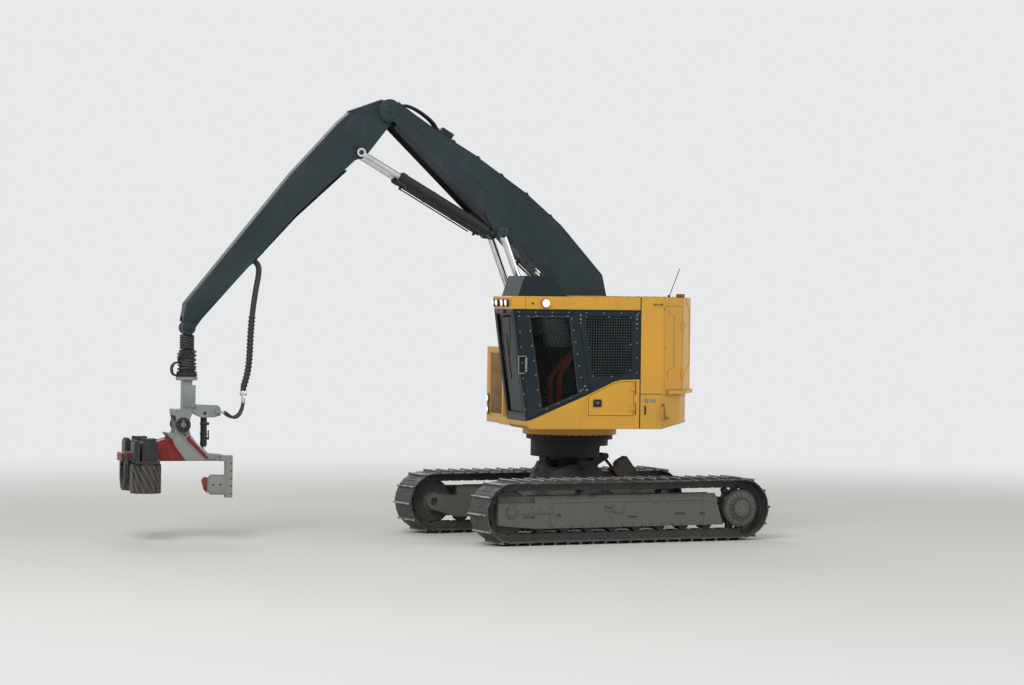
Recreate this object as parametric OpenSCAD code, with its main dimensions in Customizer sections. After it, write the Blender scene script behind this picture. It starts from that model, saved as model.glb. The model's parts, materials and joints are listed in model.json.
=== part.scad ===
// Tracked forestry harvester with a levelling upper structure, a two-piece boom and a processing head.
// +X points forward along the upper structure, +Y to the cab side, +Z up.
// The origin lies on the ground under the swing axis.

/* [Tracks] */
// Distance from one track pin to the next
link_pitch = 216; // [190:2:240]
// Number of teeth on a drive sprocket, which sets the radius of the track's ends
sprocket_teeth = 11; // [9:1:13]
// Number of shoes in each track
shoe_count = 48; // [41:2:53]
// Width of a track shoe
shoe_w = 610; // [500:10:800]
// Height of a shoe's grouser above its plate
grouser_h = 45; // [25:1:60]
// Thickness of a shoe's plate
shoe_t = 15; // [12:1:25]
// Distance between the centre lines of the tracks
track_gauge = 2740; // [2500:10:3000]
// Angle by which the tracks stand turned under the upper structure
track_yaw = 10; // [0:1:20]
// Distance of the tracks' middle behind the swing axis
track_back = 210; // [0:10:300]

/* [Track frames] */
// Width of a track frame
frame_w = 400; // [340:10:440]
// Radius of a lower roller
roller_r = 95; // [80:5:110]
// Number of lower rollers on each side
roller_count = 8; // [6:1:9]
// Top of the track frame's side plates
frame_top = 740; // [700:10:780]

/* [Levelling base] */
// Height of the crossed tilting axes
tilt_z = 1150; // [1120:5:1200]
// Radius of the trunnions on the tilting cross
trunnion_r = 60; // [45:5:70]
// Distance from the middle to a trunnion's ear
ear_pos = 430; // [400:5:460]
// Radius of the tilting table
table_r = 650; // [560:10:700]
// Depth of the skirt under the tilting table
table_skirt = 170; // [60:5:180]
// Height of the table's underside
table_z = 1440; // [1430:5:1480]
// Height of the deck's underside, on top of the swing bearing
deck_z = 1620; // [1600:5:1700]

/* [Upper structure] */
// Height of the lower edge of the side panels
skirt_z = 1750; // [1720:5:1800]
// Rise of the tail's underside, which clears the tracks when the upper structure leans back over them
tail_rise = 68; // [60:1:90]
// Half of the upper structure's width
house_hw = 1500; // [1400:10:1600]
// Height of the engine hood's roof
hood_top = 3780; // [3600:10:3900]
// Height of the cab's roof
cab_top = 3775; // [3700:5:3860]
// Thickness of the hood's walls and doors
hood_t = 40; // [30:5:60]
// Height of the ledge along the top of the counterweight
weight_top = 2290; // [2200:10:2600]
// Inner side of the cab
cab_in = 500; // [480:5:560]
// Thickness of the cab's walls and door
cab_t = 60; // [40:5:80]
// Thickness of the panes
pane_t = 10; // [6:1:14]

/* [Boom and stick] */
// Width of the boom
boom_w = 500; // [440:10:520]
// Width of the stick
stick_w = 300; // [260:10:320]
// Thickness of the boom's and stick's plates
plate_t = 20; // [12:1:30]
// Radius of the pins at the boom's foot and at the elbow
main_pin_r = 55; // [40:5:70]
// Radius of the hoist cylinders' barrels
hoist_r = 92; // [80:2:100]
// Radius of the stick cylinders' barrels
stick_cyl_r = 82; // [70:2:88]

/* [Head] */
// Radius of a feed roller
feed_r = 230; // [180:5:240]
// Height of a feed roller
feed_h = 440; // [300:10:440]
// Radius of the stem that the head grips
stem_r = 130; // [100:5:150]

/* [Hidden] */
$fn = 48;
gap = 0.3;
slack = 6;

// Colours
yellow = [0.84, 0.58, 0.16];
cab_dark = [0.10, 0.14, 0.18];
boom_grey = [0.16, 0.21, 0.23];
under_grey = [0.30, 0.29, 0.27];
head_red = [0.62, 0.10, 0.10];
pale_grey = [0.72, 0.73, 0.70];
chrome = [0.80, 0.81, 0.82];
black = [0.05, 0.05, 0.05];

// Track: radius of the pin line and derived places
pin_r = sprocket_teeth * link_pitch / (2 * PI);
plate_in = 60;
plate_out = plate_in + shoe_t;
tip_h = plate_out + grouser_h;
axle_z = pin_r + tip_h;
wheel_base = (shoe_count - sprocket_teeth) * link_pitch / 2;
arc_len = PI * pin_r;
rail_in = -60;
rail_w = 45;
rail_y = 70;
wheel_r = pin_r + rail_in - gap;
roller_z = axle_z - pin_r - rail_in + roller_r + gap;
frame_bottom = roller_z - 25;
frame_len = wheel_base - 2 * wheel_r - 190;

// Boom and stick places in the X-Z plane
foot = [-230, 3090];
elbow = [3040, 6610];
hoist_base = [240, 2055];
hoist_eye = [1250, 4755];
stick_base = [1370, 4740];
stick_eye = [3480, 5955];
stick_tip = [6120, 3230];
hoist_y = 365;
stick_cyl_y = 196;
hoist_len = norm(hoist_eye - hoist_base);
stick_len = norm(stick_eye - stick_base);

// Head places
tilt_pin = [6210, 1760];
tilt_base = [5850, 1930];
tilt_eye = [5850, 1310];
stem_z = 1000;
rot_x = stick_tip[0];

// Places an outline in the X-Z plane and makes it solid from y0 to y1
module xz(y0, y1) {
    translate([0, y1, 0]) rotate([90, 0, 0]) linear_extrude(y1 - y0) children();
}

// Round bar along Y
module ybar(p, r, y0, y1) {
    translate([p[0], y1, p[1]]) rotate([90, 0, 0]) cylinder(r = r, h = y1 - y0);
}

// Round bar along X
module xbar(x0, x1, y, z, r) {
    translate([x0, y, z]) rotate([0, 90, 0]) cylinder(r = r, h = x1 - x0);
}

// Box from its lowest to its highest corner
module block(a, b) {
    translate(a) cube(b - a);
}

// Puts a cylinder drawn along +X on the line from p to q in the X-Z plane, at one y
module along(p, q, y) {
    translate([p[0], y, p[1]]) rotate([0, -atan2(q[1] - p[1], q[0] - p[0]), 0]) children();
}

// Barrel of a hydraulic cylinder: eye at the start, bore open at the far end
module ram_barrel(len, r, rod_r, pin, eye_w) {
    difference() {
        union() {
            translate([0, eye_w / 2, 0]) rotate([90, 0, 0]) cylinder(r = pin * 1.8, h = eye_w);
            translate([pin, 0, 0]) rotate([0, 90, 0]) cylinder(r = r * 0.8, h = pin * 1.3);
            translate([pin * 2.2, 0, 0]) rotate([0, 90, 0]) cylinder(r = r, h = len - pin * 2.2);
            translate([len - r, 0, 0]) rotate([0, 90, 0]) cylinder(r = r * 1.08, h = r);
        }
        translate([0, eye_w, 0]) rotate([90, 0, 0]) cylinder(r = pin + gap, h = 2 * eye_w);
        translate([pin * 2.2 + 20, 0, 0]) rotate([0, 90, 0]) cylinder(r = rod_r + 2, h = len);
    }
}

// Rod of a hydraulic cylinder from its inner end to the eye at len, which its pin fills
module ram_rod(start, len, r, pin, eye_w) {
    translate([start, 0, 0]) rotate([0, 90, 0]) cylinder(r = r, h = len - pin - start);
    translate([len, eye_w / 2, 0]) rotate([90, 0, 0]) cylinder(r = pin * 1.7, h = eye_w);
}

// Barrel whose eye is filled by the pin that runs through its bracket
module pinned_barrel(len, r, rod_r, pin, eye_w, pin_w) {
    difference() {
        union() {
            translate([0, eye_w / 2, 0]) rotate([90, 0, 0]) cylinder(r = pin * 1.8, h = eye_w);
            translate([pin, 0, 0]) rotate([0, 90, 0]) cylinder(r = r * 0.8, h = pin * 1.3);
            translate([pin * 2.2, 0, 0]) rotate([0, 90, 0]) cylinder(r = r, h = len - pin * 2.2);
            translate([len - r, 0, 0]) rotate([0, 90, 0]) cylinder(r = r * 1.08, h = r);
            translate([0, pin_w / 2, 0]) rotate([90, 0, 0]) cylinder(r = pin, h = pin_w);
        }
        translate([pin * 2.2 + 20, 0, 0]) rotate([0, 90, 0]) cylinder(r = rod_r + 2, h = len);
    }
}

// Turns the undercarriage under the upper structure
module turned() {
    rotate([0, 0, track_yaw]) children();
}

// Place on the pin line at distance s along the loop, with the turn of a shoe there
function loop_at(s) =
    s < wheel_base ? [s - wheel_base / 2, pin_r, 0] :
    s < wheel_base + arc_len ? arc_at((s - wheel_base) / arc_len * 180, wheel_base / 2) :
    s < 2 * wheel_base + arc_len ? [wheel_base / 2 - (s - wheel_base - arc_len), -pin_r, 180] :
    arc_at(180 + (s - 2 * wheel_base - arc_len) / arc_len * 180, -wheel_base / 2);
function arc_at(a, x) = [x + pin_r * sin(a), pin_r * cos(a), a];
// Point at dx along a shoe and height h over the pin line
function shoe_pt(i, dx, h) =
    let (c = loop_at((i + 0.5) * link_pitch))
    [c[0] + dx * cos(c[2]) + h * sin(c[2]), c[1] - dx * sin(c[2]) + h * cos(c[2])];

// Shoe profile: share of the pitch, height over the pin line
shoe_profile = [[-0.47, plate_out - 3], [-0.44, plate_out], [-0.30, plate_out + 3], [-0.26, tip_h],
    [-0.18, tip_h], [-0.13, plate_out + 3], [0.40, plate_out], [0.47, plate_out - 8]];
rail_profile = [[-0.36, rail_in], [0.36, rail_in], [0.5, rail_in + 18]];

module track() {
    color(under_grey) translate([-track_back, 0, axle_z]) {
        xz(-shoe_w / 2, shoe_w / 2) difference() {
            polygon([for (i = [0 : shoe_count - 1]) for (p = shoe_profile) shoe_pt(i, p[0] * link_pitch, p[1])]);
            polygon([for (i = [0 : shoe_count - 1]) for (e = [-0.5, 0.5]) shoe_pt(i, e * link_pitch * 0.8, plate_in)]);
        }
        for (side = [-1, 1])
            xz(side * rail_y - rail_w / 2, side * rail_y + rail_w / 2) difference() {
                polygon([for (i = [0 : shoe_count - 1]) for (e = [-0.4, 0.4]) shoe_pt(i, e * link_pitch, plate_in + 2)]);
                polygon([for (i = [0 : shoe_count - 1]) for (p = rail_profile) shoe_pt(i, p[0] * link_pitch, p[1])]);
            }
    }
}

// Slots in the outer plate of a track frame: middle x, middle z, width, height
frame_slots = [[2005, 547, 140, 46], [1695, 425, 190, 38], [1195, 439, 85, 60], [340, 520, 140, 92], [-80, 400, 150, 34],
    [-925, 430, 180, 40], [-1320, 430, 90, 36]];

// Track frame: trough with sloping upper edges, open for the rollers, and plates that hold the axles
module track_frame() {
    hl = frame_len / 2;
    hw = frame_w / 2;
    lip = hw - 75;
    color(under_grey) translate([-track_back, 0, 0]) difference() {
        union() {
            translate([-hl, 0, 0]) rotate([90, 0, 90]) linear_extrude(frame_len)
                polygon([[-hw, frame_bottom], [hw, frame_bottom], [hw, frame_top - 100], [lip, frame_top], [110, frame_top],
                    [110, 600], [-110, 600], [-110, frame_top], [-lip, frame_top], [-hw, frame_top - 100]]);
            xz(110, hw) polygon([[hl - 1, frame_bottom], [wheel_base / 2 + 220, frame_bottom + 60],
                [wheel_base / 2 + 220, frame_top - 100], [hl - 1, frame_top - 100]]);
            xz(110, lip) polygon([[hl - 1, 500], [wheel_base / 2 + 220, 500], [wheel_base / 2 + 180, frame_top], [hl - 1, frame_top]]);
            xz(110, hw) polygon([[1 - hl, frame_bottom], [300 - wheel_base / 2, frame_bottom],
                [430 - wheel_base / 2, frame_top - 100], [1 - hl, frame_top - 100]]);
            xz(-hw, -110) hull() {
                translate([wheel_base / 2, axle_z]) circle(r = 130, $fn = 32);
                translate([hl - 60, frame_bottom]) square([50, 330]);
            }
            xz(-hw, -110) hull() {
                translate([-wheel_base / 2, axle_z]) circle(r = 190, $fn = 32);
                translate([10 - hl, frame_bottom]) square([50, 330]);
            }
        }
        translate([-hl, 0, 0]) rotate([90, 0, 90]) linear_extrude(frame_len)
            polygon([[40 - hw, frame_bottom - 10], [hw - 40, frame_bottom - 10], [hw - 40, roller_z + roller_r + 15],
                [40 - hw, roller_z + roller_r + 15]]);
        for (f = frame_slots) block([f[0] - f[2] / 2, hw - 20, f[1] - f[3] / 2], [f[0] + f[2] / 2, hw + 1, f[1] + f[3] / 2]);
        for (x = [-wheel_base / 2, wheel_base / 2]) ybar([x, axle_z], 60, -hw - 1, hw + 1);
    }
}

// Idler, sprocket, lower rollers and carrier rollers, each with its axle between the frame's plates
module running_gear() {
    hw = frame_w / 2;
    color(under_grey) translate([-track_back, 0, 0]) {
        translate([wheel_base / 2, 0, axle_z]) rotate([90, 0, 0]) {
            cylinder(r = wheel_r, h = 2 * (rail_y + rail_w / 2 + 8), center = true);
            cylinder(r = wheel_r + 45, h = 2 * (rail_y - rail_w / 2) - 12, center = true);
            translate([0, 0, -hw]) cylinder(r = 60 - gap, h = frame_w - 30);
        }
        translate([-wheel_base / 2, 0, axle_z]) rotate([90, 0, 0]) {
            linear_extrude(2 * (rail_y - rail_w / 2) - 12, center = true)
                polygon([for (i = [0 : sprocket_teeth - 1]) for (t = [[-0.32, wheel_r - 30], [-0.16, pin_r - 12], [0.16, pin_r - 12],
                    [0.32, wheel_r - 30]]) t[1] * [sin((i + t[0]) * 360 / sprocket_teeth), cos((i + t[0]) * 360 / sprocket_teeth)]]);
            cylinder(r = 215, h = 216, center = true);
            translate([0, 0, -hw - 15]) cylinder(r = 290, h = hw - 95);
            translate([0, 0, -hw - 45]) cylinder(r = 190, h = 60);
            cylinder(r = 60 - gap, h = frame_w, center = true);
        }
        for (i = [0 : roller_count - 1]) {
            x = (i - (roller_count - 1) / 2) * (frame_len - 260) / (roller_count - 1);
            translate([x, 0, roller_z]) rotate([90, 0, 0]) {
                cylinder(r = roller_r, h = 2 * (rail_y + rail_w / 2 + 8), center = true);
                cylinder(r = 35, h = frame_w - 80, center = true);
            }
        }
        for (x = [-700, 700]) {
            translate([x, 0, axle_z + pin_r + rail_in - 65 - gap]) rotate([90, 0, 0])
                cylinder(r = 65, h = 2 * (rail_y + rail_w / 2 + 8), center = true);
            block([x - 50, -30, 600 + gap], [x + 50, 30, axle_z + pin_r + rail_in - 100]);
        }
    }
}

// Middle of the undercarriage with its arms to the track frames and the ears of the pitch axis
module carbody() {
    arm_y = track_gauge / 2 - frame_w / 2;
    color(under_grey) turned() difference() {
        union() {
            block([-620, -600, 520], [620, 600, 860]);
            for (x = [-1, 1]) for (y = [-1, 1])
                hull() {
                    block([x * 450 - 170, y * 500 - 60, 530], [x * 450 + 170, y * 500 + 60, 850]);
                    block([x * 620 - 200 - track_back / 2, y * (arm_y - 10) - 10, 330],
                        [x * 620 + 200 - track_back / 2, y * (arm_y - 10) + 10, 510]);
                }
            for (y = [-1, 1]) xz(y * ear_pos - 45, y * ear_pos + 45) {
                translate([0, tilt_z]) circle(r = 95);
                polygon([[-260, 850], [260, 850], [95, tilt_z], [-95, tilt_z]]);
            }
            xz(ear_pos - 45, ear_pos + 45)
                polygon([[-480, 850], [900, 850], [900, 960], [760, 1220], [680, 1220], [520, 1050], [200, 1150], [-200, 1150], [-380, 1030]]);
            block([600, 200, 620], [880, 475, 851]);
            for (y = [pitch_y - 123, pitch_y + 88]) xz(y, y + 35) {
                polygon([pitch_base + [-70, -45], [-610, 560], [-610, 840], pitch_base + [30, 75]]);
                translate(pitch_base) circle(r = 80);
            }
        }
        for (y = [-1, 1]) ybar([0, tilt_z], trunnion_r + gap, y * ear_pos - 50, y * ear_pos + 50);
        ybar(pitch_base, 30 + gap, pitch_y - 130, pitch_y + 130);
    }
}

// Cross between the pitch and roll axes, with an arm behind for the pitch cylinder
module tilt_cross() {
    color(under_grey) turned() difference() {
        union() {
            translate([-250, -250, tilt_z - 110]) cube([500, 500, 220]);
            ybar([0, tilt_z], trunnion_r, -ear_pos - 45, ear_pos + 45);
            xbar(-ear_pos - 45, ear_pos + 45, 0, tilt_z, trunnion_r);
            block([-250, 240, tilt_z - 60], [-130, pitch_y + 82, tilt_z + 60]);
            for (y = [pitch_y - 82, pitch_y + 47]) xz(y, y + 35) {
                polygon([[-240, tilt_z - 60], [-240, tilt_z + 100], pitch_eye + [10, 50], pitch_eye + [-20, -45]]);
                translate(pitch_eye) circle(r = 50);
            }
            for (x = [roll_x - 78, roll_x + 55]) translate([x, 0, 0]) rotate([90, 0, 90]) linear_extrude(23) {
                polygon([[-240, tilt_z + 20], [-240, tilt_z - 105], roll_base + [20, -50], roll_base + [-40, 30]]);
                translate(roll_base) circle(r = 52);
            }
            block([roll_x - 78, -250, tilt_z - 105], [-240, -200, tilt_z + 20]);
        }
        xbar(roll_x - 100, roll_x + 100, roll_base[0], roll_base[1], 24 + gap);
    }
}

// Tilting table with its ears on the roll axis and the swing bearing on top
module tilt_table() {
    color(under_grey) turned() difference() {
        union() {
            translate([0, 0, table_z]) cylinder(r = table_r - 40, h = 100, $fn = 96);
            translate([0, 0, table_z + 99]) cylinder(r = table_r + 30, h = deck_z - table_z - 99 - gap, $fn = 96);
            translate([0, 0, table_z - table_skirt]) difference() {
                cylinder(r = table_r - 40, h = table_skirt + 1, $fn = 96);
                translate([0, 0, -1]) cylinder(r = table_r - 80, h = table_skirt + 3, $fn = 96);
                block([-700, -700, -1], [-250, 700, table_skirt + 3]);
                block([-300, -700, -1], [-90, 0, table_skirt + 3]);
            }
            for (x = [-1, 1]) translate([x * ear_pos - 45, 0, 0]) rotate([90, 0, 90]) linear_extrude(90) {
                translate([0, tilt_z]) circle(r = 95);
                polygon([[-95, tilt_z], [95, tilt_z], [150, table_z + 10], [-150, table_z + 10]]);
            }
            for (x = [roll_x - 60, roll_x + 35]) translate([x, 0, 0]) rotate([90, 0, 90]) linear_extrude(25) {
                polygon([roll_eye + [-50, 0], roll_eye + [50, 0], roll_eye + [70, 60], roll_eye + [-30, 60]]);
                translate(roll_eye) circle(r = 50);
            }
        }
        for (x = [-1, 1]) xbar(x * ear_pos - 50, x * ear_pos + 50, 0, tilt_z, trunnion_r + gap);
    }
}

// Levelling cylinders: the pitch one in the X-Z plane, the roll one in the Y-Z plane
pitch_base = [-960, 740];
pitch_eye = [-460, tilt_z + 125];
pitch_y = 295;
roll_base = [-300, tilt_z - 140];
roll_eye = [-540, table_z - 50];
roll_x = -197;

// Box over the pitch cylinder, along its length and up from its axis
ram_guard = [[470, -60], [510, 120], [470, 270], [110, 235], [80, 110], [90, -60]];

module pitch_barrel() {
    color(black) turned() along(pitch_base, pitch_eye, pitch_y) {
        pinned_barrel(500, 70, 38, 30, 150, 246);
        difference() {
            xz(-78, 78) polygon(ram_guard);
            xz(-68, 68) polygon([[0, -80], [455, -80], [498, 118], [461, 258], [118, 224], [0, 180]]);
            translate([-100, 0, 0]) rotate([0, 90, 0]) cylinder(r = 69, h = 800);
        }
    }
}

module pitch_rod() {
    color(chrome) turned() along(pitch_base, pitch_eye, pitch_y)
        ram_rod(230, norm(pitch_eye - pitch_base), 38, 24, 94 - 2 * gap);
}

// Places a cylinder of the X-Z plane in the Y-Z plane
module sideways() {
    rotate([0, 0, 90]) children();
}

module roll_barrel() {
    color(black) turned() sideways() along(roll_base, roll_eye, -roll_x)
        pinned_barrel(290, 48, 26, 24, 100, 156);
}

module roll_rod() {
    color(chrome) turned() sideways() along(roll_base, roll_eye, -roll_x)
        ram_rod(170, norm(roll_eye - roll_base), 26, 24, 70 - 2 * gap);
}

// Outline of the upper structure seen from above, behind x
rear_plan = [[-1010, house_hw], [-1460, 1210], [-1830, 480], [-1830, -480], [-1460, -1210], [-1010, -house_hw]];
low_plan = [[-1010, house_hw], [-1430, 1150], [-1765, 450], [-1765, -450], [-1430, -1150], [-1010, -house_hw]];
bay_x = -660;
tower_y = 256;
tower_t = 28;

deck_t = 120;

// Outline of the deck's plate, inside the skirts of the panels that stand on it
module deck_plan() {
    polygon([[1020, -480], [1020, 1380], [-900, 1380], [-1370, 1080], [-1700, 460], [-1700, -460], [-1370, -1080],
        [-900, -1380], [820, -1380], [820, -480]]);
}

// Space under the tail, cut from the deck and the counterweight
module tail_cut() {
    xz(-1600, 1600) polygon([[-1010, skirt_z], [-1430, skirt_z + tail_rise], [-1900, skirt_z + tail_rise],
        [-1900, skirt_z - 30], [-1010, skirt_z - 30]]);
}

// Deck of the upper structure with the towers that carry the boom
module deck() {
    color(yellow) difference() {
        union() {
            translate([0, 0, deck_z]) cylinder(r = 740, h = skirt_z - deck_z + 10, $fn = 96);
            translate([0, 0, skirt_z]) linear_extrude(deck_t) deck_plan();
            for (y = [-1, 1]) xz(y > 0 ? tower_y : -tower_y - tower_t, y > 0 ? tower_y + tower_t : -tower_y) difference() {
                union() {
                    polygon([[-640, skirt_z + 100], [420, skirt_z + 100], hoist_base + [85, 0], hoist_base + [-85, 40], [20, 2400],
                        foot + [190, 40], foot + [0, 190], foot + [-190, 110], [-640, 2300]]);
                    translate(foot) circle(r = 190);
                    translate(hoist_base) circle(r = 95);
                }
                polygon([[-480, 2150], [-160, 2150], foot + [-20, -290], foot + [-120, -290]]);
            }
            for (y = [-1, 1]) xz(y > 0 ? 446 : -466, y > 0 ? 466 : -446) {
                polygon([[0, skirt_z + 100], [400, skirt_z + 100], hoist_base + [85, 0], hoist_base + [-85, 0]]);
                translate(hoist_base) circle(r = 95);
            }
            ybar(hoist_base, 45, -466, 466);
            ybar(foot, main_pin_r, -tower_y - tower_t - 30, tower_y + tower_t + 30);
            block([-640, -tower_y - 1, skirt_z + 100], [-570, tower_y + 1, 2350]);
        }
        tail_cut();
    }
}

// Cab lines in the X-Z plane
cab_front = [[1170, 1870], [1400, 3575]];
function front_x(z) = cab_front[0][0] + (z - cab_front[0][1]) * (cab_front[1][0] - cab_front[0][0]) / (cab_front[1][1] - cab_front[0][1]);
slant = [[1090, 1885], [205, 2265], [-220, 2470], [-360, 2505], [bay_x + 10, 2515]];
door_way = [[1138, 1915], [1352, 3505], [352, 3505], [140, 2322], [1085, 1915]];
hinge_dir = door_way[2] - door_way[3];
guard_way = [[250, 3490], [-520, 3490], [-520, 2625], [-330, 2545], [115, 2545]];
side_pane = [[990, 2180], [1150, 3430], [-290, 3430], [-290, 2650], [280, 2460]];
door_pane = [[908, 2060], [1118, 3450], [498, 3450], [350, 2292]];
service_way = [[165, 1960], [165, 2255], [-220, 2440], [-360, 2472], [-552, 2478], [-552, 1960]];

// Yellow base of the cab: it stands on the deck, laps over its edge and has the recess behind the service door
module cab_base() {
    color(yellow) difference() {
        xz(cab_in, house_hw)
            polygon(concat([[1100, skirt_z], [1160, skirt_z + 50], [1168, 1869]], slant, [[bay_x + 10, skirt_z]]));
        translate([0, 0, skirt_z - 1]) linear_extrude(deck_t + 1 + gap) offset(delta = 5) deck_plan();
        xz(house_hw - cab_t - 200, house_hw + 1) offset(delta = 7) polygon(service_way);
        xz(cab_in + cab_t, house_hw - cab_t) polygon([[1050, 1930], [1050, 2100], [210, 2500], [210, 1930]]);
    }
}

// Cab: hollow shell with the windscreen, side window, door way and guarded rear window cut through
module cab_shell() {
    color(cab_dark) difference() {
        xz(cab_in, house_hw) polygon(concat([cab_front[0] + [0, gap], cab_front[1], [bay_x + 10, cab_front[1][1]]],
            [for (i = [4 : -1 : 0]) slant[i] + [0, gap]]));
        xz(cab_in + cab_t, house_hw - cab_t) polygon([[front_x(1930) - 58, 1930], [front_x(3580) - 58, 3580], [bay_x + 70, 3580],
            [bay_x + 70, 2555], [-350, 2545], [-210, 2510], [210, 2315], [210, 1930]]);
        xz(cab_in + 70, house_hw - 100) polygon([[1000, 1990], [1900, 1990], [1900, 3505], [1200, 3505]]);
        xz(cab_in - 1, cab_in + cab_t + 1) polygon(side_pane);
        xz(house_hw - cab_t - 1, house_hw + 1) polygon(door_way);
        xz(house_hw - cab_t - 1, house_hw + 1) polygon(guard_way);
    }
}

module cab_glass() {
    color([0.35, 0.42, 0.42, 0.5]) {
        xz(cab_in + 70 + gap, house_hw - 100 - gap) polygon([[front_x(1990) - 35, 1990 + gap], [front_x(1990) - 25, 1990 + gap],
            [front_x(3505) - 25, 3505 - gap], [front_x(3505) - 35, 3505 - gap]]);
        xz(cab_in + 20, cab_in + 20 + pane_t) offset(delta = -gap) polygon(side_pane);
    }
}

// Guard over the rear side window: plate with rows of openings
module window_guard() {
    color(black) xz(house_hw - 30, house_hw - 20) difference() {
        offset(delta = -gap) polygon(guard_way);
        intersection() {
            offset(delta = -25) polygon(guard_way);
            for (i = [0 : 11]) for (j = [0 : 13]) translate([-487 + i * 59, 2575 + j * 64]) square([45, 50]);
        }
    }
}

// Lid of the cab, which carries the lamps along its front edge
module cab_roof() {
    color(yellow) difference() {
        xz(cab_in, house_hw) polygon([[cab_front[1][0], cab_front[1][1] + gap], [cab_front[1][0] + 22, cab_top - 15],
            [cab_front[1][0] + 7, cab_top], [bay_x + 10, cab_top], [bay_x + 10, cab_front[1][1] + gap]]);
        block([bay_x + 80, cab_in + cab_t, cab_front[1][1] - 1], [1320, house_hw - cab_t, cab_top - 75]);
    }
}

module roof_guard() {
    color(cab_dark) difference() {
        xz(560, 1440) polygon([[1300, cab_top + gap], [1195, 4085], [755, 4095], [520, cab_top + gap]]);
        xz(590, 1410) polygon([[1260, cab_top], [1170, 4058], [775, 4068], [560, cab_top]]);
    }
}

module lamps() {
    color([0.95, 0.95, 0.9]) {
        for (y = [580, 780, 1070, 1290]) translate([cab_front[1][0] + 12.3, y, 3675]) rotate([0, 96.8, 0]) cylinder(r = 45, h = 50);
        translate([880, house_hw + 45, 3670]) rotate([90, 0, 0]) cylinder(r = 60, h = 45 - gap);
        for (z = [1950, 2125]) xbar(930 + gap, 960, -1400, z, 45);
    }
}

module cab_seat() {
    color(black) {
        block([260, 780, 2100], [760, 1220, 2220]);
        block([225, 800, 2150], [345, 1200, 2950]);
        block([350, 900, 1930.3], [620, 1100, 2100]);
        for (y = [700, 1230]) block([380, y, 2260], [800, y + 80, 2330]);
        block([380, 700, 2220], [450, 1310, 2261]);
    }
}

// Engine hood: chamfered shell with a door way on each rear corner
module hood_plan(d) {
    offset(delta = -d) polygon(concat([[bay_x, house_hw]], rear_plan, [[bay_x, -house_hw], [bay_x, -480], [bay_x - 180, -480],
        [bay_x - 180, 480], [bay_x, 480]]));
}

// Frame on a rear corner's face: X along it from the front edge, Y inward
module on_corner(side) {
    a = rear_plan[0];
    b = rear_plan[1];
    mirror([0, side > 0 ? 0 : 1, 0]) translate([a[0], a[1], 0]) rotate([0, 0, atan2(b[1] - a[1], b[0] - a[0])]) children();
}

module corner_face(side, s0, s1, depth) {
    on_corner(side) translate([s0, -0.5, 0]) cube([s1 - s0, depth + 0.5, 1300]);
}

face_len = norm(rear_plan[1] - rear_plan[0]);

module engine_hood() {
    color(yellow) difference() {
        union() {
            translate([0, 0, weight_top + gap]) linear_extrude(hood_top - weight_top - gap) hood_plan(0);
            translate([0, 0, weight_top + gap]) linear_extrude(54) intersection() {
                hood_plan(-45);
                translate([-2000, -1600]) square([860, 3200]);
            }
        }
        translate([0, 0, weight_top - 1]) linear_extrude(hood_top - weight_top - hood_t) hood_plan(hood_t);
        for (side = [-1, 1]) translate([0, 0, weight_top + 60]) corner_face(side, 60, face_len - 30, hood_t + 20);
    }
}

// Door on a rear corner of the hood, with two knuckles on its hinge line
module hood_door(side) {
    color(yellow) translate([0, 0, weight_top + 65]) {
        intersection() {
            corner_face(side, 65, face_len - 35, hood_t);
            translate([-3000, -3000, 0]) cube([6000, 6000, hood_top - weight_top - 200]);
        }
        on_corner(side) for (z = [180, 930]) {
            translate([face_len - 13.8, -19.7, z]) cylinder(r = 19.4, h = 120);
            translate([face_len - 70, -20, z]) cube([35, 21, 120]);
            translate([face_len - 70, -20, z]) cube([57, 15, 120]);
        }
    }
}

module engine() {
    color(under_grey) block([-1620, -480, skirt_z + deck_t + gap], [-900, 480, 3100]);
}

module counterweight() {
    color(yellow) difference() {
        translate([0, 0, skirt_z]) linear_extrude(weight_top - skirt_z) polygon(concat([[bay_x, house_hw]], low_plan, [[bay_x, -house_hw]]));
        translate([0, 0, skirt_z - 1]) linear_extrude(deck_t + 1 + gap) offset(delta = 5) deck_plan();
        block([-1640, -700, skirt_z], [bay_x + 1, 700, weight_top + 1]);
        tail_cut();
    }
}

// Tank and valve housing on the right, with a recessed side panel
module tank_box() {
    color(yellow) difference() {
        block([bay_x + 1, -house_hw, skirt_z], [930, -560, 2960]);
        translate([0, 0, skirt_z - 1]) linear_extrude(deck_t + 1 + gap) offset(delta = 5) deck_plan();
        block([bay_x + 80, -house_hw - 1, skirt_z + 200], [850, -house_hw + 12, 2880]);
        block([918, -house_hw + 170, 1850], [931, -640, 2880]);
    }
}

module roof_fittings() {
    color(black) {
        translate([-1650, 500, hood_top + gap]) cylinder(r = 65, h = 55);
        translate([-1460, 500, hood_top + gap]) {
            cylinder(r = 20, h = 40);
            translate([0, 0, 8]) rotate([0, -21, 0]) cylinder(r = 6, h = 482);
        }
    }
}

// Cab door with a slanted rear edge, its bow handle and its hinge knuckles
module cab_door() {
    color(cab_dark) {
        xz(house_hw - cab_t, house_hw) difference() {
            offset(delta = -8) polygon(door_way);
            polygon(door_pane);
        }
        for (k = [0.1, 0.8]) translate([door_way[3][0] + k * hinge_dir[0] + 7, house_hw + 15, door_way[3][1] + k * hinge_dir[1]])
                rotate([0, atan2(hinge_dir[0], hinge_dir[1]), 0]) {
            cylinder(r = 16.2, h = 110);
            translate([0, -16, 0]) cube([70, 16, 110]);
        }
        for (z = [2600, 2840]) ybar([1190, z], 12, house_hw - 1, house_hw + 60);
        translate([1190, house_hw + 50, 2600]) cylinder(r = 12, h = 240);
    }
}

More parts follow.
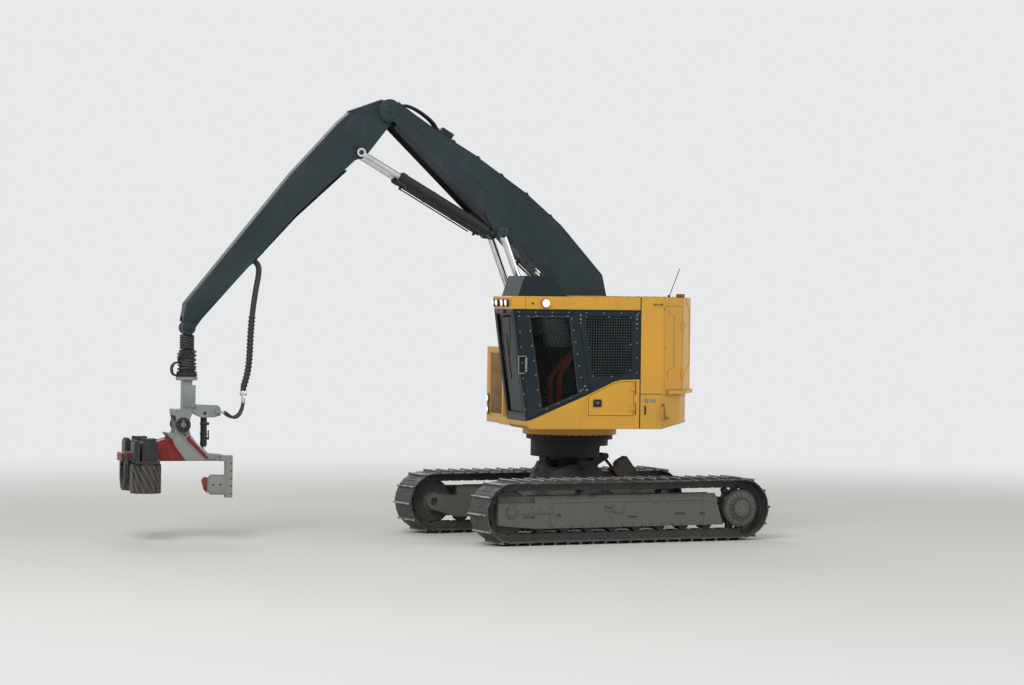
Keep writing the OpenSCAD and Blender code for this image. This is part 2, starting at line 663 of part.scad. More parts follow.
module cab_door_glass() {
    color([0.35, 0.42, 0.42, 0.5])
        xz(house_hw - 35, house_hw - 35 + pane_t) offset(delta = -gap) polygon(door_pane);
}

module service_door() {
    color(yellow) {
        xz(house_hw - 30, house_hw) polygon(service_way);
        block([-35, house_hw - 1, 2095], [95, house_hw + 14, 2205]);
        for (z = [2030, 2340]) {
            translate([-565, house_hw + 10, z]) cylinder(r = 9.7, h = 70);
            block([-554, house_hw - 1, z], [-500, house_hw + 10, z + 70]);
            block([-565, house_hw + 2, z], [-540, house_hw + 10, z + 70]);
        }
    }
}

// Boom outline: upper edge from the tip to the foot, then the lower edge back
boom_upper = [[2905, 6750], [2670, 6580], [2240, 6295], [1670, 5960], [820, 5375], [255, 4895], [-430, 4125], [-500, 3815],
    [-410, 3085]];
boom_lower = [[-50, 3095], [65, 3560], [280, 3815], [2975, 6450]];

module boom_shape() {
    polygon(concat(boom_upper, boom_lower));
    translate(elbow) circle(r = 175);
    translate(foot) circle(r = 180);
}

// Boom: box of plates, open at the tip where its cheeks take the stick
module boom() {
    hw = boom_w / 2;
    color(boom_grey) difference() {
        union() {
            difference() {
                xz(-hw, hw) boom_shape();
                xz(plate_t - hw, hw - plate_t) difference() {
                    offset(delta = -plate_t) polygon(concat(boom_upper, boom_lower));
                    translate(foot) circle(r = 200);
                    translate([960, 4900]) square([40, 900]);
                }
                xz(plate_t - hw, hw - plate_t) translate(elbow) circle(r = 330);
            }
            for (y = [-1, 1]) {
                ybar(elbow, 130, y > 0 ? stick_w / 2 + slack : -hw + 1, y > 0 ? hw - 1 : -stick_w / 2 - slack);
            }
            for (y = [-108, 78]) xz(y, y + 30) {
                translate(stick_base) circle(r = 75);
                polygon([stick_base + [-70, -20], stick_base + [75, 0], stick_base + [260, 330], stick_base + [-60, 60]]);
            }
            for (y = [-1, 1]) xz(y > 0 ? hw - 1 : -hoist_y + 75 + gap, y > 0 ? hoist_y - 75 - gap : 1 - hw) {
                translate(hoist_eye) circle(r = 100);
                polygon([hoist_eye + [-100, 0], hoist_eye + [60, -70], hoist_eye + [270, 310], hoist_eye + [-160, 100]]);
            }
            ybar(elbow, main_pin_r, -hw - 15, hw + 15);
            ybar(stick_base, 40, -stick_cyl_y - 85, stick_cyl_y + 85);
        }
        ybar(foot, main_pin_r + gap, -300, 300);
    }
}

// Steel lines clamped along the top of the boom
module boom_lines() {
    color(black) for (y = [-150, -90, -30, 30])
        xz(y, y + 32) intersection() {
            difference() {
                offset(delta = 32) polygon(concat(boom_upper, boom_lower));
                offset(delta = gap) polygon(concat(boom_upper, boom_lower));
            }
            polygon([[300, 4815], [2615, 6455], [2405, 6980], [50, 5305]]);
        }
}

module hoist_barrels() {
    color(black) for (y = [-hoist_y, hoist_y]) along(hoist_base, hoist_eye, y)
        ram_barrel(1750, hoist_r, 55, 45, 150);
}

module hoist_rods() {
    color(chrome) for (y = [-hoist_y, hoist_y]) along(hoist_base, hoist_eye, y)
        ram_rod(1150, hoist_len, 55, 45, 150);
}

// Stick outline: upper edge from the elbow to the tip, then the lower edge back
stick_shape_pts = [[2945, 6750], [3145, 6775], [3600, 6610], [3815, 6415], [4545, 5615], [6160, 3615], [6215, 3335],
    [6020, 3230], [5915, 3375], [5405, 3950], [4440, 5015], [3555, 5835], [3395, 5890], [2915, 6510]];

module stick() {
    hw = stick_w / 2;
    color(boom_grey) difference() {
        union() {
            xz(-hw, hw) polygon(stick_shape_pts);
            ybar(elbow, 165, -hw, hw);
            ybar(stick_eye, 100, -hw, hw);
            ybar(stick_tip, 105, -hw, hw);
        }
        xz(plate_t - hw, hw - plate_t) difference() {
            offset(delta = -plate_t) polygon(stick_shape_pts);
            translate(elbow) circle(r = 190);
            translate(stick_eye) circle(r = 130);
            translate(stick_tip) circle(r = 300);
        }
        xz(-70, 70) translate(stick_tip) circle(r = 190);
        ybar(elbow, main_pin_r + gap, -300, 300);
        ybar(stick_tip, 40 + gap, -300, 300);
    }
}

module stick_barrels() {
    color(black) for (y = [-stick_cyl_y, stick_cyl_y]) along(stick_base, stick_eye, y)
        ram_barrel(1700, stick_cyl_r, 50, 40, 100);
}

module stick_rods() {
    color(chrome) for (y = [-stick_cyl_y, stick_cyl_y]) along(stick_base, stick_eye, y)
        ram_rod(800, stick_len, 45, 40, 2 * (stick_cyl_y - stick_w / 2 - gap));
}

// Link between the stick's tip and the rotator
module head_link() {
    color(boom_grey) {
        ybar(stick_tip, 95, -64, 64);
        block([rot_x - 70, -60, 2895], [rot_x + 70, 60, stick_tip[1]]);
        ybar(stick_tip, 40, -stick_w / 2 - 10, stick_w / 2 + 10);
    }
}

module rotator() {
    color(black) {
        translate([rot_x, 0, 2560]) cylinder(r = 120, h = 335 - gap);
        translate([rot_x, 0, 2485]) cylinder(r = 155, h = 76);
    }
}

module head_yoke() {
    color(pale_grey) difference() {
        union() {
            translate([rot_x, 0, 2440]) cylinder(r = 165, h = 45 - gap);
            block([rot_x - 70, -110, 1990], [rot_x + 70, 110, 2441]);
            block([6080, -250, 1900], [6330, 250, 1991]);
            for (y = [-250, 210]) xz(y, y + 40) {
                translate(tilt_pin) circle(r = 90);
                polygon([[6080, 1950], [6330, 1950], tilt_pin + [90, 0], tilt_pin + [-90, 0]]);
            }
            for (y = [-142, 91]) block([5610, y, 1930], [5690, y + 51, 1990]);
            for (y = [-92, 62]) xz(y, y + 30)
                polygon([[6100, 1960], [6100, 2065], [5640, 2050], [5605, 2000], [5605, 1900], [5700, 1868], [5900, 1868]]);
        }
        ybar(tilt_pin, 45 + gap, -260, 260);
        ybar(tilt_base, 25 + gap, -100, 100);
    }
}

module tilt_barrel() {
    color(black) along(tilt_base, tilt_eye, 0)
        pinned_barrel(480, 50, 28, 25, 110, 184);
}

module tilt_rod() {
    color(chrome) along(tilt_base, tilt_eye, 0)
        ram_rod(90, norm(tilt_eye - tilt_base), 28, 22, 90 - 2 * gap);
}

arm_pin = [150, 1270];
body_split = [[6180, 1210], [6350, 1430], [6400, 1565]];
feed_gap = 220;
feed_span = 310;
knife_gap = 110;
nose = 100;
feed_x = [body_split[2][0] + feed_gap, body_split[2][0] + feed_gap + feed_span];
knife_x = feed_x[1] + knife_gap;

// Rear half of the head's body with the ears for the yoke, the tilt cylinder's slot and the saw's box
module head_frame() {
    color(pale_grey) {
        difference() {
            union() {
                xz(-200, 200) polygon(concat([[5560, 1210]], body_split, [[6460, 1640], [6110, 1605], [5990, 1465], [5830, 1320],
                    [5560, 1300]]));
                for (y = [-200, 165]) xz(y, y + 35) {
                    translate(tilt_pin) circle(r = 80);
                    polygon([[6080, 1590], [6340, 1590], tilt_pin + [80, 0], tilt_pin + [-80, 0]]);
                }
            }
            block([5780, -45, 1255], [6120, 45, 1650]);
        }
        ybar(tilt_pin, 45, -255, -160);
        ybar(tilt_pin, 45, 160, 255);
        block([5561, -200, 1211], [5640, 340, 1299]);
        block([5460, 180, 1240], [5640, 340, 1299]);
        block([5460, 180, 660], [5475, 340, 1241]);
        block([5545, 180, 660], [5560, 340, 1241]);
        block([5460, 325, 660], [5560, 340, 1241]);
        xz(300, 340) polygon([[5550, 1010], [5550, 705], [5800, 705], [5850, 760], [5850, 950], [5800, 1010]]);
    }
}

// Front half of the head's body, with bores and slots for the feed arms and the knives
module head_housing() {
    color(head_red) difference() {
        xz(-200, 200) polygon(concat([for (i = [2 : -1 : 0]) body_split[i] + [gap, 0]], [[knife_x + nose, 1210],
            [knife_x + nose, 1330], [knife_x - 40, 1345], [feed_x[0] + 20, 1370], [feed_x[0] - 25, 1505]]));
        for (side = [-1, 1]) {
            xbar(feed_x[0] - 60, knife_x + nose - 10, side * arm_pin[0], arm_pin[1], 30 + gap);
            for (x = feed_x) block([x - 8, side > 0 ? 90 : -210, 1150], [x + 58, side > 0 ? 210 : -90, 1420]);
            block([knife_x - 8, side > 0 ? 90 : -210, 1150], [knife_x + 63, side > 0 ? 210 : -90, 1420]);
        }
    }
}

// Humps over the feed arm's motor: x and z of their outlines
hump_a = [for (p = [[25, 1219], [25, 1480], [80, 1560], [210, 1560], [265, 1490], [265, 1219]]) [feed_x[0], 0] + p];
hump_b = [for (p = [[-10, 1219], [-10, 1480], [15, 1535], [55, 1535], [80, 1480], [80, 1219]]) [feed_x[1], 0] + p];

module feed_arm(side) {
    y0 = side > 0 ? 250 : -560;
    color(cab_dark) {
        xbar(feed_x[0] - 20, feed_x[1] + 70, side * arm_pin[0], arm_pin[1], 30);
        for (x = feed_x) translate([x, 0, 0]) rotate([90, 0, 90]) linear_extrude(50) {
            translate([side * arm_pin[0], arm_pin[1]]) circle(r = 50);
            polygon([[side * 130, 1310], [side * 190, 1330], [side * 420, 1300], [side * 600, 1230], [side * 600, 1185],
                [side * 230, 1185], [side * 130, 1230]]);
        }
        block([feed_x[0], min(side * 230, side * 600), 1185], [feed_x[1] + 50, max(side * 230, side * 600), 1220]);
        xz(y0, y0 + 310) polygon(hump_a);
        xz(y0, y0 + 310) polygon(hump_b);
    }
}

module feed_roller(side) {
    top = 1185 - gap;
    color(black) translate([(feed_x[0] + feed_x[1] + 50) / 2, side * (stem_r + feed_r + 20), 0]) {
        difference() {
            translate([0, 0, top - 5 - feed_h]) cylinder(r = feed_r, h = feed_h);
            for (i = [0 : 11]) rotate([0, 0, i * 30]) translate([feed_r - 15, -20, top - 6 - feed_h]) cube([30, 40, feed_h + 2]);
        }
        translate([0, 0, top - 100]) cylinder(r = 70, h = 100);
    }
}

module knife(side) {
    color(cab_dark) {
        xbar(knife_x - 30, knife_x + 85, side * arm_pin[0], arm_pin[1], 30);
        translate([knife_x, 0, 0]) rotate([90, 0, 90]) linear_extrude(55) {
            difference() {
                translate([0, stem_z]) circle(r = 240);
                translate([0, stem_z]) circle(r = 180);
                translate([side > 0 ? -500 : -60, 500]) square([560, 1000]);
                translate([side > 0 ? 0 : -500, 1130]) square([500, 500]);
            }
            translate([side * arm_pin[0], arm_pin[1]]) circle(r = 50);
            polygon([[side * 105, 1262], [side * 185, 1305], [side * 246, 1160], [side * 238, 1010], [side * 178, 1010], [side * 172, 1110]]);
        }
    }
}

saw_pin = [262, 1185];
module saw_bar() {
    color(boom_grey) {
        translate([5500, 0, 0]) rotate([90, 0, 90]) linear_extrude(12) {
            translate(saw_pin) circle(r = 48);
            polygon([[214, 1185], [310, 1185], [300, 720], [262, 690], [224, 720]]);
        }
        xbar(5475 + gap, 5545 - gap, saw_pin[0], saw_pin[1], 30);
    }
}

// Hoses as tubes along hand-chosen points
module tube(pts, r, sides) {
    n = len(pts);
    dirs = [for (i = [0 : n - 1]) pts[min(i + 1, n - 1)] - pts[max(i - 1, 0)]];
    rings = [for (i = [0 : n - 1]) let (d = dirs[i] / norm(dirs[i]), u = [0, 1, 0], v = cross(d, u) / norm(cross(d, u)), w = cross(v, d))
        for (k = [0 : sides - 1]) pts[i] + r * (cos(k * 360 / sides) * v + sin(k * 360 / sides) * w)];
    polyhedron(rings, concat([[for (k = [0 : sides - 1]) k]],
        [for (i = [0 : n - 2]) for (k = [0 : sides - 1]) let (m = (k + 1) % sides)
            [i * sides + m, i * sides + k, (i + 1) * sides + k, (i + 1) * sides + m]],
        [[for (k = [sides - 1 : -1 : 0]) (n - 1) * sides + k]]));
}

drop_pts = [[5109.8, 0, 4275.4], [5043, 0, 4215], [5018, 0, 4130], [5030, 0, 4000], [5065, 0, 3800], [5100, 0, 3550], [5125, 0, 3300],
    [5140, 0, 3050], [5150, 0, 2800], [5170, 0, 2600], [5205, 0, 2440], [5235, 0, 2340], [5240, 0, 2270], [5240, 0, 2200 + gap]];
head_hose_pts = [[5240, 24, 2200], [5240, 24, 2110], [5260, 40, 2000], [5305, 70, 1910], [5375, 98, 1868], [5450, 113, 1885],
    [5520, 117, 1935], [5570, 117, 1960], [5610 - gap, 117, 1960]];

module drop_hose() {
    color(black) tube(drop_pts, 55, 10);
}

module head_hoses() {
    color(black) for (side = [-1, 1]) tube([for (p = head_hose_pts) [p[0], side * p[1], p[2]]], 22, 8);
}

module left() {
    turned() translate([0, track_gauge / 2, 0]) children();
}

module right() {
    turned() translate([0, -track_gauge / 2, 0]) mirror([0, 1, 0]) children();
}

carbody();
left() track_frame();  // track_frame_left
right() track_frame();  // track_frame_right
left() track();  // track_left
right() track();  // track_right
left() running_gear();  // running_gear_left
right() running_gear();  // running_gear_right
tilt_cross();
tilt_table();
pitch_barrel();
pitch_rod();
roll_barrel();
roll_rod();
deck();
cab_base();
cab_shell();
cab_glass();
window_guard();
roof_guard();
lamps();
cab_roof();
cab_seat();
engine_hood();
engine();
counterweight();
tank_box();
roof_fittings();
cab_door();
cab_door_glass();
service_door();
hood_door(1);  // hood_door_left
hood_door(-1);  // hood_door_right
boom();
boom_lines();
hoist_barrels();
hoist_rods();
stick();
stick_barrels();
stick_rods();
head_link();
rotator();
head_yoke();
tilt_barrel();
tilt_rod();
head_frame();
head_housing();
feed_arm(1);  // feed_arm_left
feed_arm(-1);  // feed_arm_right
feed_roller(1);  // feed_roller_left
feed_roller(-1);  // feed_roller_right
knife(1);  // knife_left
knife(-1);  // knife_right
saw_bar();
drop_hose();
head_hoses();
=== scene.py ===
import json
import math

import bpy
from mathutils import Matrix, Vector


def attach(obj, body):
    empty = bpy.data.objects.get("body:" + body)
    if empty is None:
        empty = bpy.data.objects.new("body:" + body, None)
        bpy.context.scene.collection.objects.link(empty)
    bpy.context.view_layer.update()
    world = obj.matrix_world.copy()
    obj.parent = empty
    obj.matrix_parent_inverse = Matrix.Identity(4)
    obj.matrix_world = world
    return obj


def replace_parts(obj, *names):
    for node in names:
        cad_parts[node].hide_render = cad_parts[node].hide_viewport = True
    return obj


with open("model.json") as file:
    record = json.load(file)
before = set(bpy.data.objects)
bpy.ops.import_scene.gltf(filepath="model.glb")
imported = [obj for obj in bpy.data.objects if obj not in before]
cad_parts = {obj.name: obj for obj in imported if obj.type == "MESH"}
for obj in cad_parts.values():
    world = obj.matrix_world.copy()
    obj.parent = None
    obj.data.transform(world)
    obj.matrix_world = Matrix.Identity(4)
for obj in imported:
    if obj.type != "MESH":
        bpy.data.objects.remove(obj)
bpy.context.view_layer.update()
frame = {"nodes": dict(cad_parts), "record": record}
nodes = frame["nodes"]
left, right, up, down = (0, 1, 0), (0, -1, 0), (0, 0, 1), (0, 0, -1)
print("frame loaded with", len(nodes), "pieces")


def clearSelection():
    if bpy.context.object and bpy.context.object.mode != "OBJECT":
        bpy.ops.object.mode_set(mode="OBJECT")
    bpy.ops.object.select_all(action="DESELECT")


def pick(piece):
    clearSelection()
    piece.select_set(True)
    bpy.context.view_layer.objects.active = piece
    return piece


def settle(piece):
    # puts the place and turn of an object into its mesh
    pick(piece)
    bpy.ops.object.transform_apply(location=True, rotation=True, scale=True)
    return piece


def newest(name):
    piece = bpy.context.object
    piece.name = name
    piece.data.name = name
    return piece


def smooth(piece, angle=40):
    pick(piece)
    bpy.ops.object.shade_smooth_by_angle(angle=math.radians(angle))
    return piece


def soften(piece, width, segments=2, angle=35):
    # rounds the edges and shades the rest flat
    pick(piece)
    bevel = piece.modifiers.new("edges", "BEVEL")
    bevel.width = width
    bevel.segments = segments
    bevel.limit_method = "ANGLE"
    bevel.angle_limit = math.radians(angle)
    bevel.harden_normals = False
    bpy.ops.object.modifier_apply(modifier="edges")
    return smooth(piece)


def extrude(piece, shift):
    # gives a flat face its thickness
    pick(piece)
    bpy.ops.object.mode_set(mode="EDIT")
    bpy.ops.mesh.select_all(action="SELECT")
    bpy.ops.mesh.extrude_region_move(TRANSFORM_OT_translate={"value": shift})
    bpy.ops.mesh.select_all(action="SELECT")
    bpy.ops.mesh.normals_make_consistent(inside=False)
    bpy.ops.object.mode_set(mode="OBJECT")


def box(low, high, edge=0.004):
    clearSelection()
    bpy.ops.mesh.primitive_cube_add(size=1, location=[(a + b) / 2 for a, b in zip(low, high)])
    piece = newest("box")
    piece.scale = [abs(b - a) for a, b in zip(low, high)]
    settle(piece)
    return soften(piece, edge) if edge else piece


def rod(start, end, radius, sides=24, edge=0.0, tip=None):
    # round bar, or a cone where tip gives the far radius
    start, end = Vector(start), Vector(end)
    clearSelection()
    bpy.ops.mesh.primitive_cone_add(vertices=sides, radius1=radius, radius2=radius if tip is None else tip,
            depth=(end - start).length, location=(start + end) / 2, rotation=(end - start).to_track_quat("Z",
            "Y").to_euler())
    piece = settle(newest("rod"))
    return soften(piece, edge) if edge else smooth(piece)


def plate(outline, near, far, edge=0.004, axis="Y"):
    # a disc whose corners are put on the outline, extruded to its thickness
    clearSelection()
    bpy.ops.mesh.primitive_circle_add(vertices=len(outline), radius=1, fill_type="NGON")
    piece = newest("plate")
    thick = far - near
    for corner, (a, b) in zip(piece.data.vertices, outline):
        corner.co = {"X": (near, a, b), "Y": (a, near, b)}[axis]
    extrude(piece, {"X": (thick, 0, 0), "Y": (0, thick, 0)}[axis])
    return soften(piece, edge) if edge else piece


def sidePlates(outline, inner, outer, edge=0.004, sides=(1, -1)):
    # the same plate on the left and right side faces
    return [plate(outline, *sorted((side * inner, side * outer)), edge) for side in sides]


def roundOutline(middle, radius, count):
    turns = [2 * math.pi * i / count for i in range(count)]
    return [(middle[0] + radius * math.cos(t), middle[1] + radius * math.sin(t)) for t in turns]


def pipe(points, radius, sides=8):
    clearSelection()
    line = bpy.data.curves.new("pipe", "CURVE")
    line.dimensions = "3D"
    line.bevel_depth = radius
    line.bevel_resolution = max(0, sides // 4 - 1)
    line.use_fill_caps = True
    spline = line.splines.new("POLY")
    spline.points.add(len(points) - 1)
    for knot, point in zip(spline.points, points):
        knot.co = (*point, 1)
    piece = bpy.data.objects.new("pipe", line)
    bpy.context.scene.collection.objects.link(piece)
    pick(piece)
    bpy.ops.object.convert(target="MESH")
    return smooth(newest("pipe"), 50)


def copyPiece(piece):
    twin = piece.copy()
    twin.data = piece.data.copy()
    bpy.context.scene.collection.objects.link(twin)
    return twin


def mirrorY(piece):
    twin = copyPiece(piece)
    twin.data.transform(Matrix.Diagonal((1, -1, 1, 1)))
    twin.data.flip_normals()
    return twin


def joinPieces(name, parts):
    parts = parts if isinstance(parts, list) else [parts]
    clearSelection()
    for piece in parts:
        piece.select_set(True)
    bpy.context.view_layer.objects.active = parts[0]
    if len(parts) > 1:
        bpy.ops.object.join()
    return newest(name)


def dress(name, parts, body, slot, finish=None):
    # one named piece that rides on a body, with the slot's own finish or a variant of it
    piece = joinPieces(name, parts)
    piece.data.materials.clear()
    piece.data.materials.append(finishes[finish or slot])
    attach(piece, body)
    return piece


view = {"place": (15.03529, 47.685848, 3.77), "aim": (0.882915, -0.263907, 3.041096), "roll": 0.7, "lens": 111.45}


def setCamera():
    clearSelection()
    bpy.ops.object.camera_add(location=view["place"])
    camera = newest("photoCamera")
    look = Vector(view["aim"]) - Vector(view["place"])
    turn = look.to_track_quat("-Z", "Y").to_matrix() @ Matrix.Rotation(math.radians(view["roll"]), 3, "Z")
    camera.rotation_euler = turn.to_euler()
    camera.data.lens = view["lens"]
    camera.data.sensor_width = 36
    camera.data.clip_end = 500
    bpy.context.scene.camera = camera


setCamera()


def feed(tree, socket, value):
    # a link where the value comes out of a node, or else a constant
    if isinstance(value, bpy.types.NodeSocket):
        tree.links.new(value, socket)
    elif isinstance(value, tuple) and socket.type == "RGBA":
        socket.default_value = (*value, 1)
    else:
        socket.default_value = value


def addNode(tree, kind, inputs=None, **options):
    node = tree.nodes.new("ShaderNode" + kind)
    for name, value in options.items():
        setattr(node, name, value)
    setInputs(tree, node, inputs or {})
    return node


def setInputs(tree, node, values):
    for label, value in values.items():
        feed(tree, node.inputs[label], value)


studio = {
    "floor": (0.62, 0.61, 0.58), "backdrop": (0.80, 0.81, 0.82), "floorRadius": 120, "fadeStart": 9, "fadeEnd": 26,
    "sky": 0.55, "key": 5200, "fill": 1500, "aim": (2, 0, 2.5),
}


def setLight():
    areas = (("keyLight", (16, 20, 22), 14, studio["key"]), ("fillLight", (-20, 14, 12), 12, studio["fill"]),
            ("backLight", (2, -24, 18), 12, studio["fill"]))
    for name, place, size, power in areas:
        clearSelection()
        bpy.ops.object.light_add(type="AREA", location=place)
        lamp = bpy.context.object
        lamp.name = name
        lamp.data.size = size
        lamp.data.energy = power
        lamp.rotation_euler = (Vector(studio["aim"]) - Vector(place)).to_track_quat("-Z", "Y").to_euler()
    world = bpy.data.worlds.new("studioWorld")
    bpy.context.scene.world = world
    world.use_nodes = True
    tree = world.node_tree
    lit = tree.nodes["Background"]
    setInputs(tree, lit, {"Color": studio["backdrop"], "Strength": studio["sky"]})
    seen = addNode(tree, "Background", {"Color": studio["backdrop"], "Strength": 1})
    rays = addNode(tree, "LightPath").outputs
    most = addMath(tree, "MAXIMUM", rays["Is Camera Ray"], rays["Is Glossy Ray"])
    most = addMath(tree, "MAXIMUM", most, rays["Is Transmission Ray"])
    mix = addNode(tree, "MixShader", {"Fac": most, 1: lit.outputs[0], 2: seen.outputs[0]})
    tree.links.new(mix.outputs[0], tree.nodes["World Output"].inputs["Surface"])


def setFloor():
    # a pale floor that fades into the backdrop
    clearSelection()
    bpy.ops.mesh.primitive_circle_add(vertices=96, radius=studio["floorRadius"], fill_type="NGON")
    floor = newest("studioFloor")
    finish, tree, plain, place = startFinish("paleFloor")
    setInputs(tree, plain, {"Base Color": studio["floor"], "Roughness": 0.9})
    far = addNode(tree, "VectorMath", {0: place}, operation="LENGTH")
    fade = addRange(tree, far.outputs["Value"], studio["fadeStart"], studio["fadeEnd"])
    glow = addNode(tree, "Emission", {"Color": studio["backdrop"]})
    mix = addNode(tree, "MixShader", {"Fac": fade, 1: plain.outputs[0], 2: glow.outputs[0]})
    tree.links.new(mix.outputs[0], tree.nodes["Material Output"].inputs["Surface"])
    floor.data.materials.append(finish)


def addMath(tree, work, a, b, clamp=False):
    return addNode(tree, "Math", {0: a, 1: b}, operation=work, use_clamp=clamp).outputs[0]


def addNoise(tree, place, scale, detail=4, roughness=0.6):
    return addNode(tree, "TexNoise", {"Detail": detail, "Roughness": roughness, "Scale": scale,
            "Vector": place}).outputs["Fac"]


def addRange(tree, value, low, high):
    return addNode(tree, "MapRange", {"From Min": low, "From Max": high, "Value": value},
            interpolation_type="SMOOTHSTEP").outputs["Result"]


def addMix(tree, factor, first, second):
    return addNode(tree, "Mix", {"Factor": factor, "A": first, "B": second}, data_type="RGBA").outputs["Result"]


def addBump(tree, strength, height, **normal):
    return addNode(tree, "Bump", {"Strength": strength, "Distance": 0.002, "Height": height,
            **normal}).outputs["Normal"]


def objectPlace(tree, stretch=None):
    source = addNode(tree, "TexCoord").outputs["Object"]
    return addNode(tree, "Mapping", {"Vector": source, "Scale": stretch}).outputs["Vector"] if stretch else source


def startFinish(name):
    finish = bpy.data.materials.new(name)
    finish.use_nodes = True
    tree = finish.node_tree
    return finish, tree, tree.nodes["Principled BSDF"], objectPlace(tree)


setLight()
setFloor()
bpy.context.scene.view_settings.view_transform = "Standard"
bpy.context.scene.cycles.caustics_refractive = False  # light bent by the panes only brings specks
print("camera, light and floor set")


def startGroup(name, inputs, outputs):
    group = bpy.data.node_groups.new(name, "ShaderNodeTree")
    for label, value in inputs.items():
        group.interface.new_socket(name=label, in_out="INPUT", socket_type="NodeSocketFloat").default_value = value
    for label, kind in outputs.items():
        group.interface.new_socket(name=label, in_out="OUTPUT", socket_type="NodeSocket" + kind)
    return group, group.nodes.new("NodeGroupInput").outputs, group.nodes.new("NodeGroupOutput")


def makeEdgeWear():
    # rounds the look of sharp edges and masks the paint rubbed off them
    tree, given, result = startGroup("edgeWear", {"Radius": 0.006, "Amount": 0.5, "Scale": 9.0},
            {"Mask": "Float", "Normal": "Vector"})
    bevel = addNode(tree, "Bevel", {"Radius": given["Radius"]}, samples=3).outputs["Normal"]
    face = addNode(tree, "NewGeometry").outputs["Normal"]
    dot = addNode(tree, "VectorMath", {0: bevel, 1: face}, operation="DOT_PRODUCT").outputs["Value"]
    edge = addRange(tree, addMath(tree, "SUBTRACT", 1.0, dot), 0.02, 0.22)
    patchy = addRange(tree, addNoise(tree, objectPlace(tree), given["Scale"], 5, 0.65), 0.42, 0.60)
    mask = addMath(tree, "MULTIPLY", addMath(tree, "MULTIPLY", edge, patchy), given["Amount"], True)
    setInputs(tree, result, {"Mask": mask, "Normal": bevel})
    return tree


def makeSoil():
    # dust that lies on upper faces and soil that climbs from the ground
    tree, given, result = startGroup("soilAndDust", {"Soil bottom": 0.0, "Soil top": 1.2, "Soil": 0.6, "Dust": 0.4,
            "Scale": 3.0}, {"Mask": "Float", "Grain": "Float"})
    place = objectPlace(tree)
    height = addNode(tree, "SeparateXYZ", {0: place}).outputs["Z"]
    broad = addNoise(tree, place, given["Scale"], 5, 0.62)
    grain = addNoise(tree, place, 42, 3, 0.7)
    uneven = addMath(tree, "MULTIPLY", addMath(tree, "SUBTRACT", broad, 0.5), 1.6)
    lift = addMath(tree, "ADD", height, uneven)
    low = addMath(tree, "SUBTRACT", 1.0, addRange(tree, lift, given["Soil bottom"], given["Soil top"]))
    soil = addMath(tree, "MULTIPLY", low, given["Soil"])
    face = addNode(tree, "NewGeometry").outputs["Normal"]
    upward = addRange(tree, addNode(tree, "SeparateXYZ", {0: face}).outputs["Z"], 0.25, 0.95)
    dust = addMath(tree, "MULTIPLY", addMath(tree, "MULTIPLY", upward, addRange(tree, broad, 0.30, 0.62)),
            given["Dust"])
    both = addMath(tree, "ADD", soil, dust, True)
    rough = addRange(tree, grain, 0.25, 0.7)
    mask = addMath(tree, "MULTIPLY", both, addMath(tree, "ADD", addMath(tree, "MULTIPLY", rough, 0.5), 0.6), True)
    setInputs(tree, result, {"Mask": mask, "Grain": grain})
    return tree


def makeStreaks():
    # rain streaks that run down the sides
    tree, given, result = startGroup("rainStreaks", {"Amount": 0.4, "Scale": 7.0}, {"Mask": "Float"})
    fine = addNoise(tree, objectPlace(tree, (1, 1, 0.07)), given["Scale"], 5, 0.7)
    broad = addNoise(tree, objectPlace(tree), 1.3, 2, 0.5)
    mask = addMath(tree, "MULTIPLY", addRange(tree, fine, 0.52, 0.72), addRange(tree, broad, 0.38, 0.66))
    setInputs(tree, result, {"Mask": addMath(tree, "MULTIPLY", mask, given["Amount"], True)})
    return tree


edgeWear = makeEdgeWear()
soilAndDust = makeSoil()
rainStreaks = makeStreaks()
print("shared effects built")


def placeGroup(tree, group, **values):
    node = addNode(tree, "Group", node_tree=group)
    setInputs(tree, node, {label.replace("_", " "): value for label, value in values.items()})
    return node.outputs


def shoeTips(tree, loop):
    # mask of what lies farthest out from the track's chain
    turned = addNode(tree, "Mapping", {"Vector": objectPlace(tree), "Location": (loop["back"], 0, 0),
            "Rotation": (0, 0, math.radians(-loop["yaw"]))})
    split = addNode(tree, "SeparateXYZ", {0: turned.outputs["Vector"]}).outputs
    along = addMath(tree, "ABSOLUTE", split["X"], 0)
    past = addMath(tree, "MAXIMUM", addMath(tree, "SUBTRACT", along, loop["half"]), 0)
    lift = addMath(tree, "SUBTRACT", split["Z"], loop["axle"])
    square = addMath(tree, "ADD", addMath(tree, "POWER", past, 2), addMath(tree, "MULTIPLY", lift, lift))
    tip = addRange(tree, addMath(tree, "SQRT", square, 0), loop["plate"], loop["tip"])
    patchy = addRange(tree, addNoise(tree, objectPlace(tree), 7, 4, 0.6), 0.30, 0.55)
    return addMath(tree, "MULTIPLY", tip, patchy, True)


usual = {  # what a finish has unless its own look says otherwise
    "round": 0.006, "wearScale": 9, "soilBottom": 0.0, "soilTop": 1.6, "soilScale": 3, "streaks": 0.3,
    "streakColor": (0.10, 0.09, 0.075), "soilColor": (0.26, 0.21, 0.155), "metal": 0, "bump": 0.25,
    "skinScale": 160, "skin": 0.15, "shine": 0.5, "coat": 0.0,
}


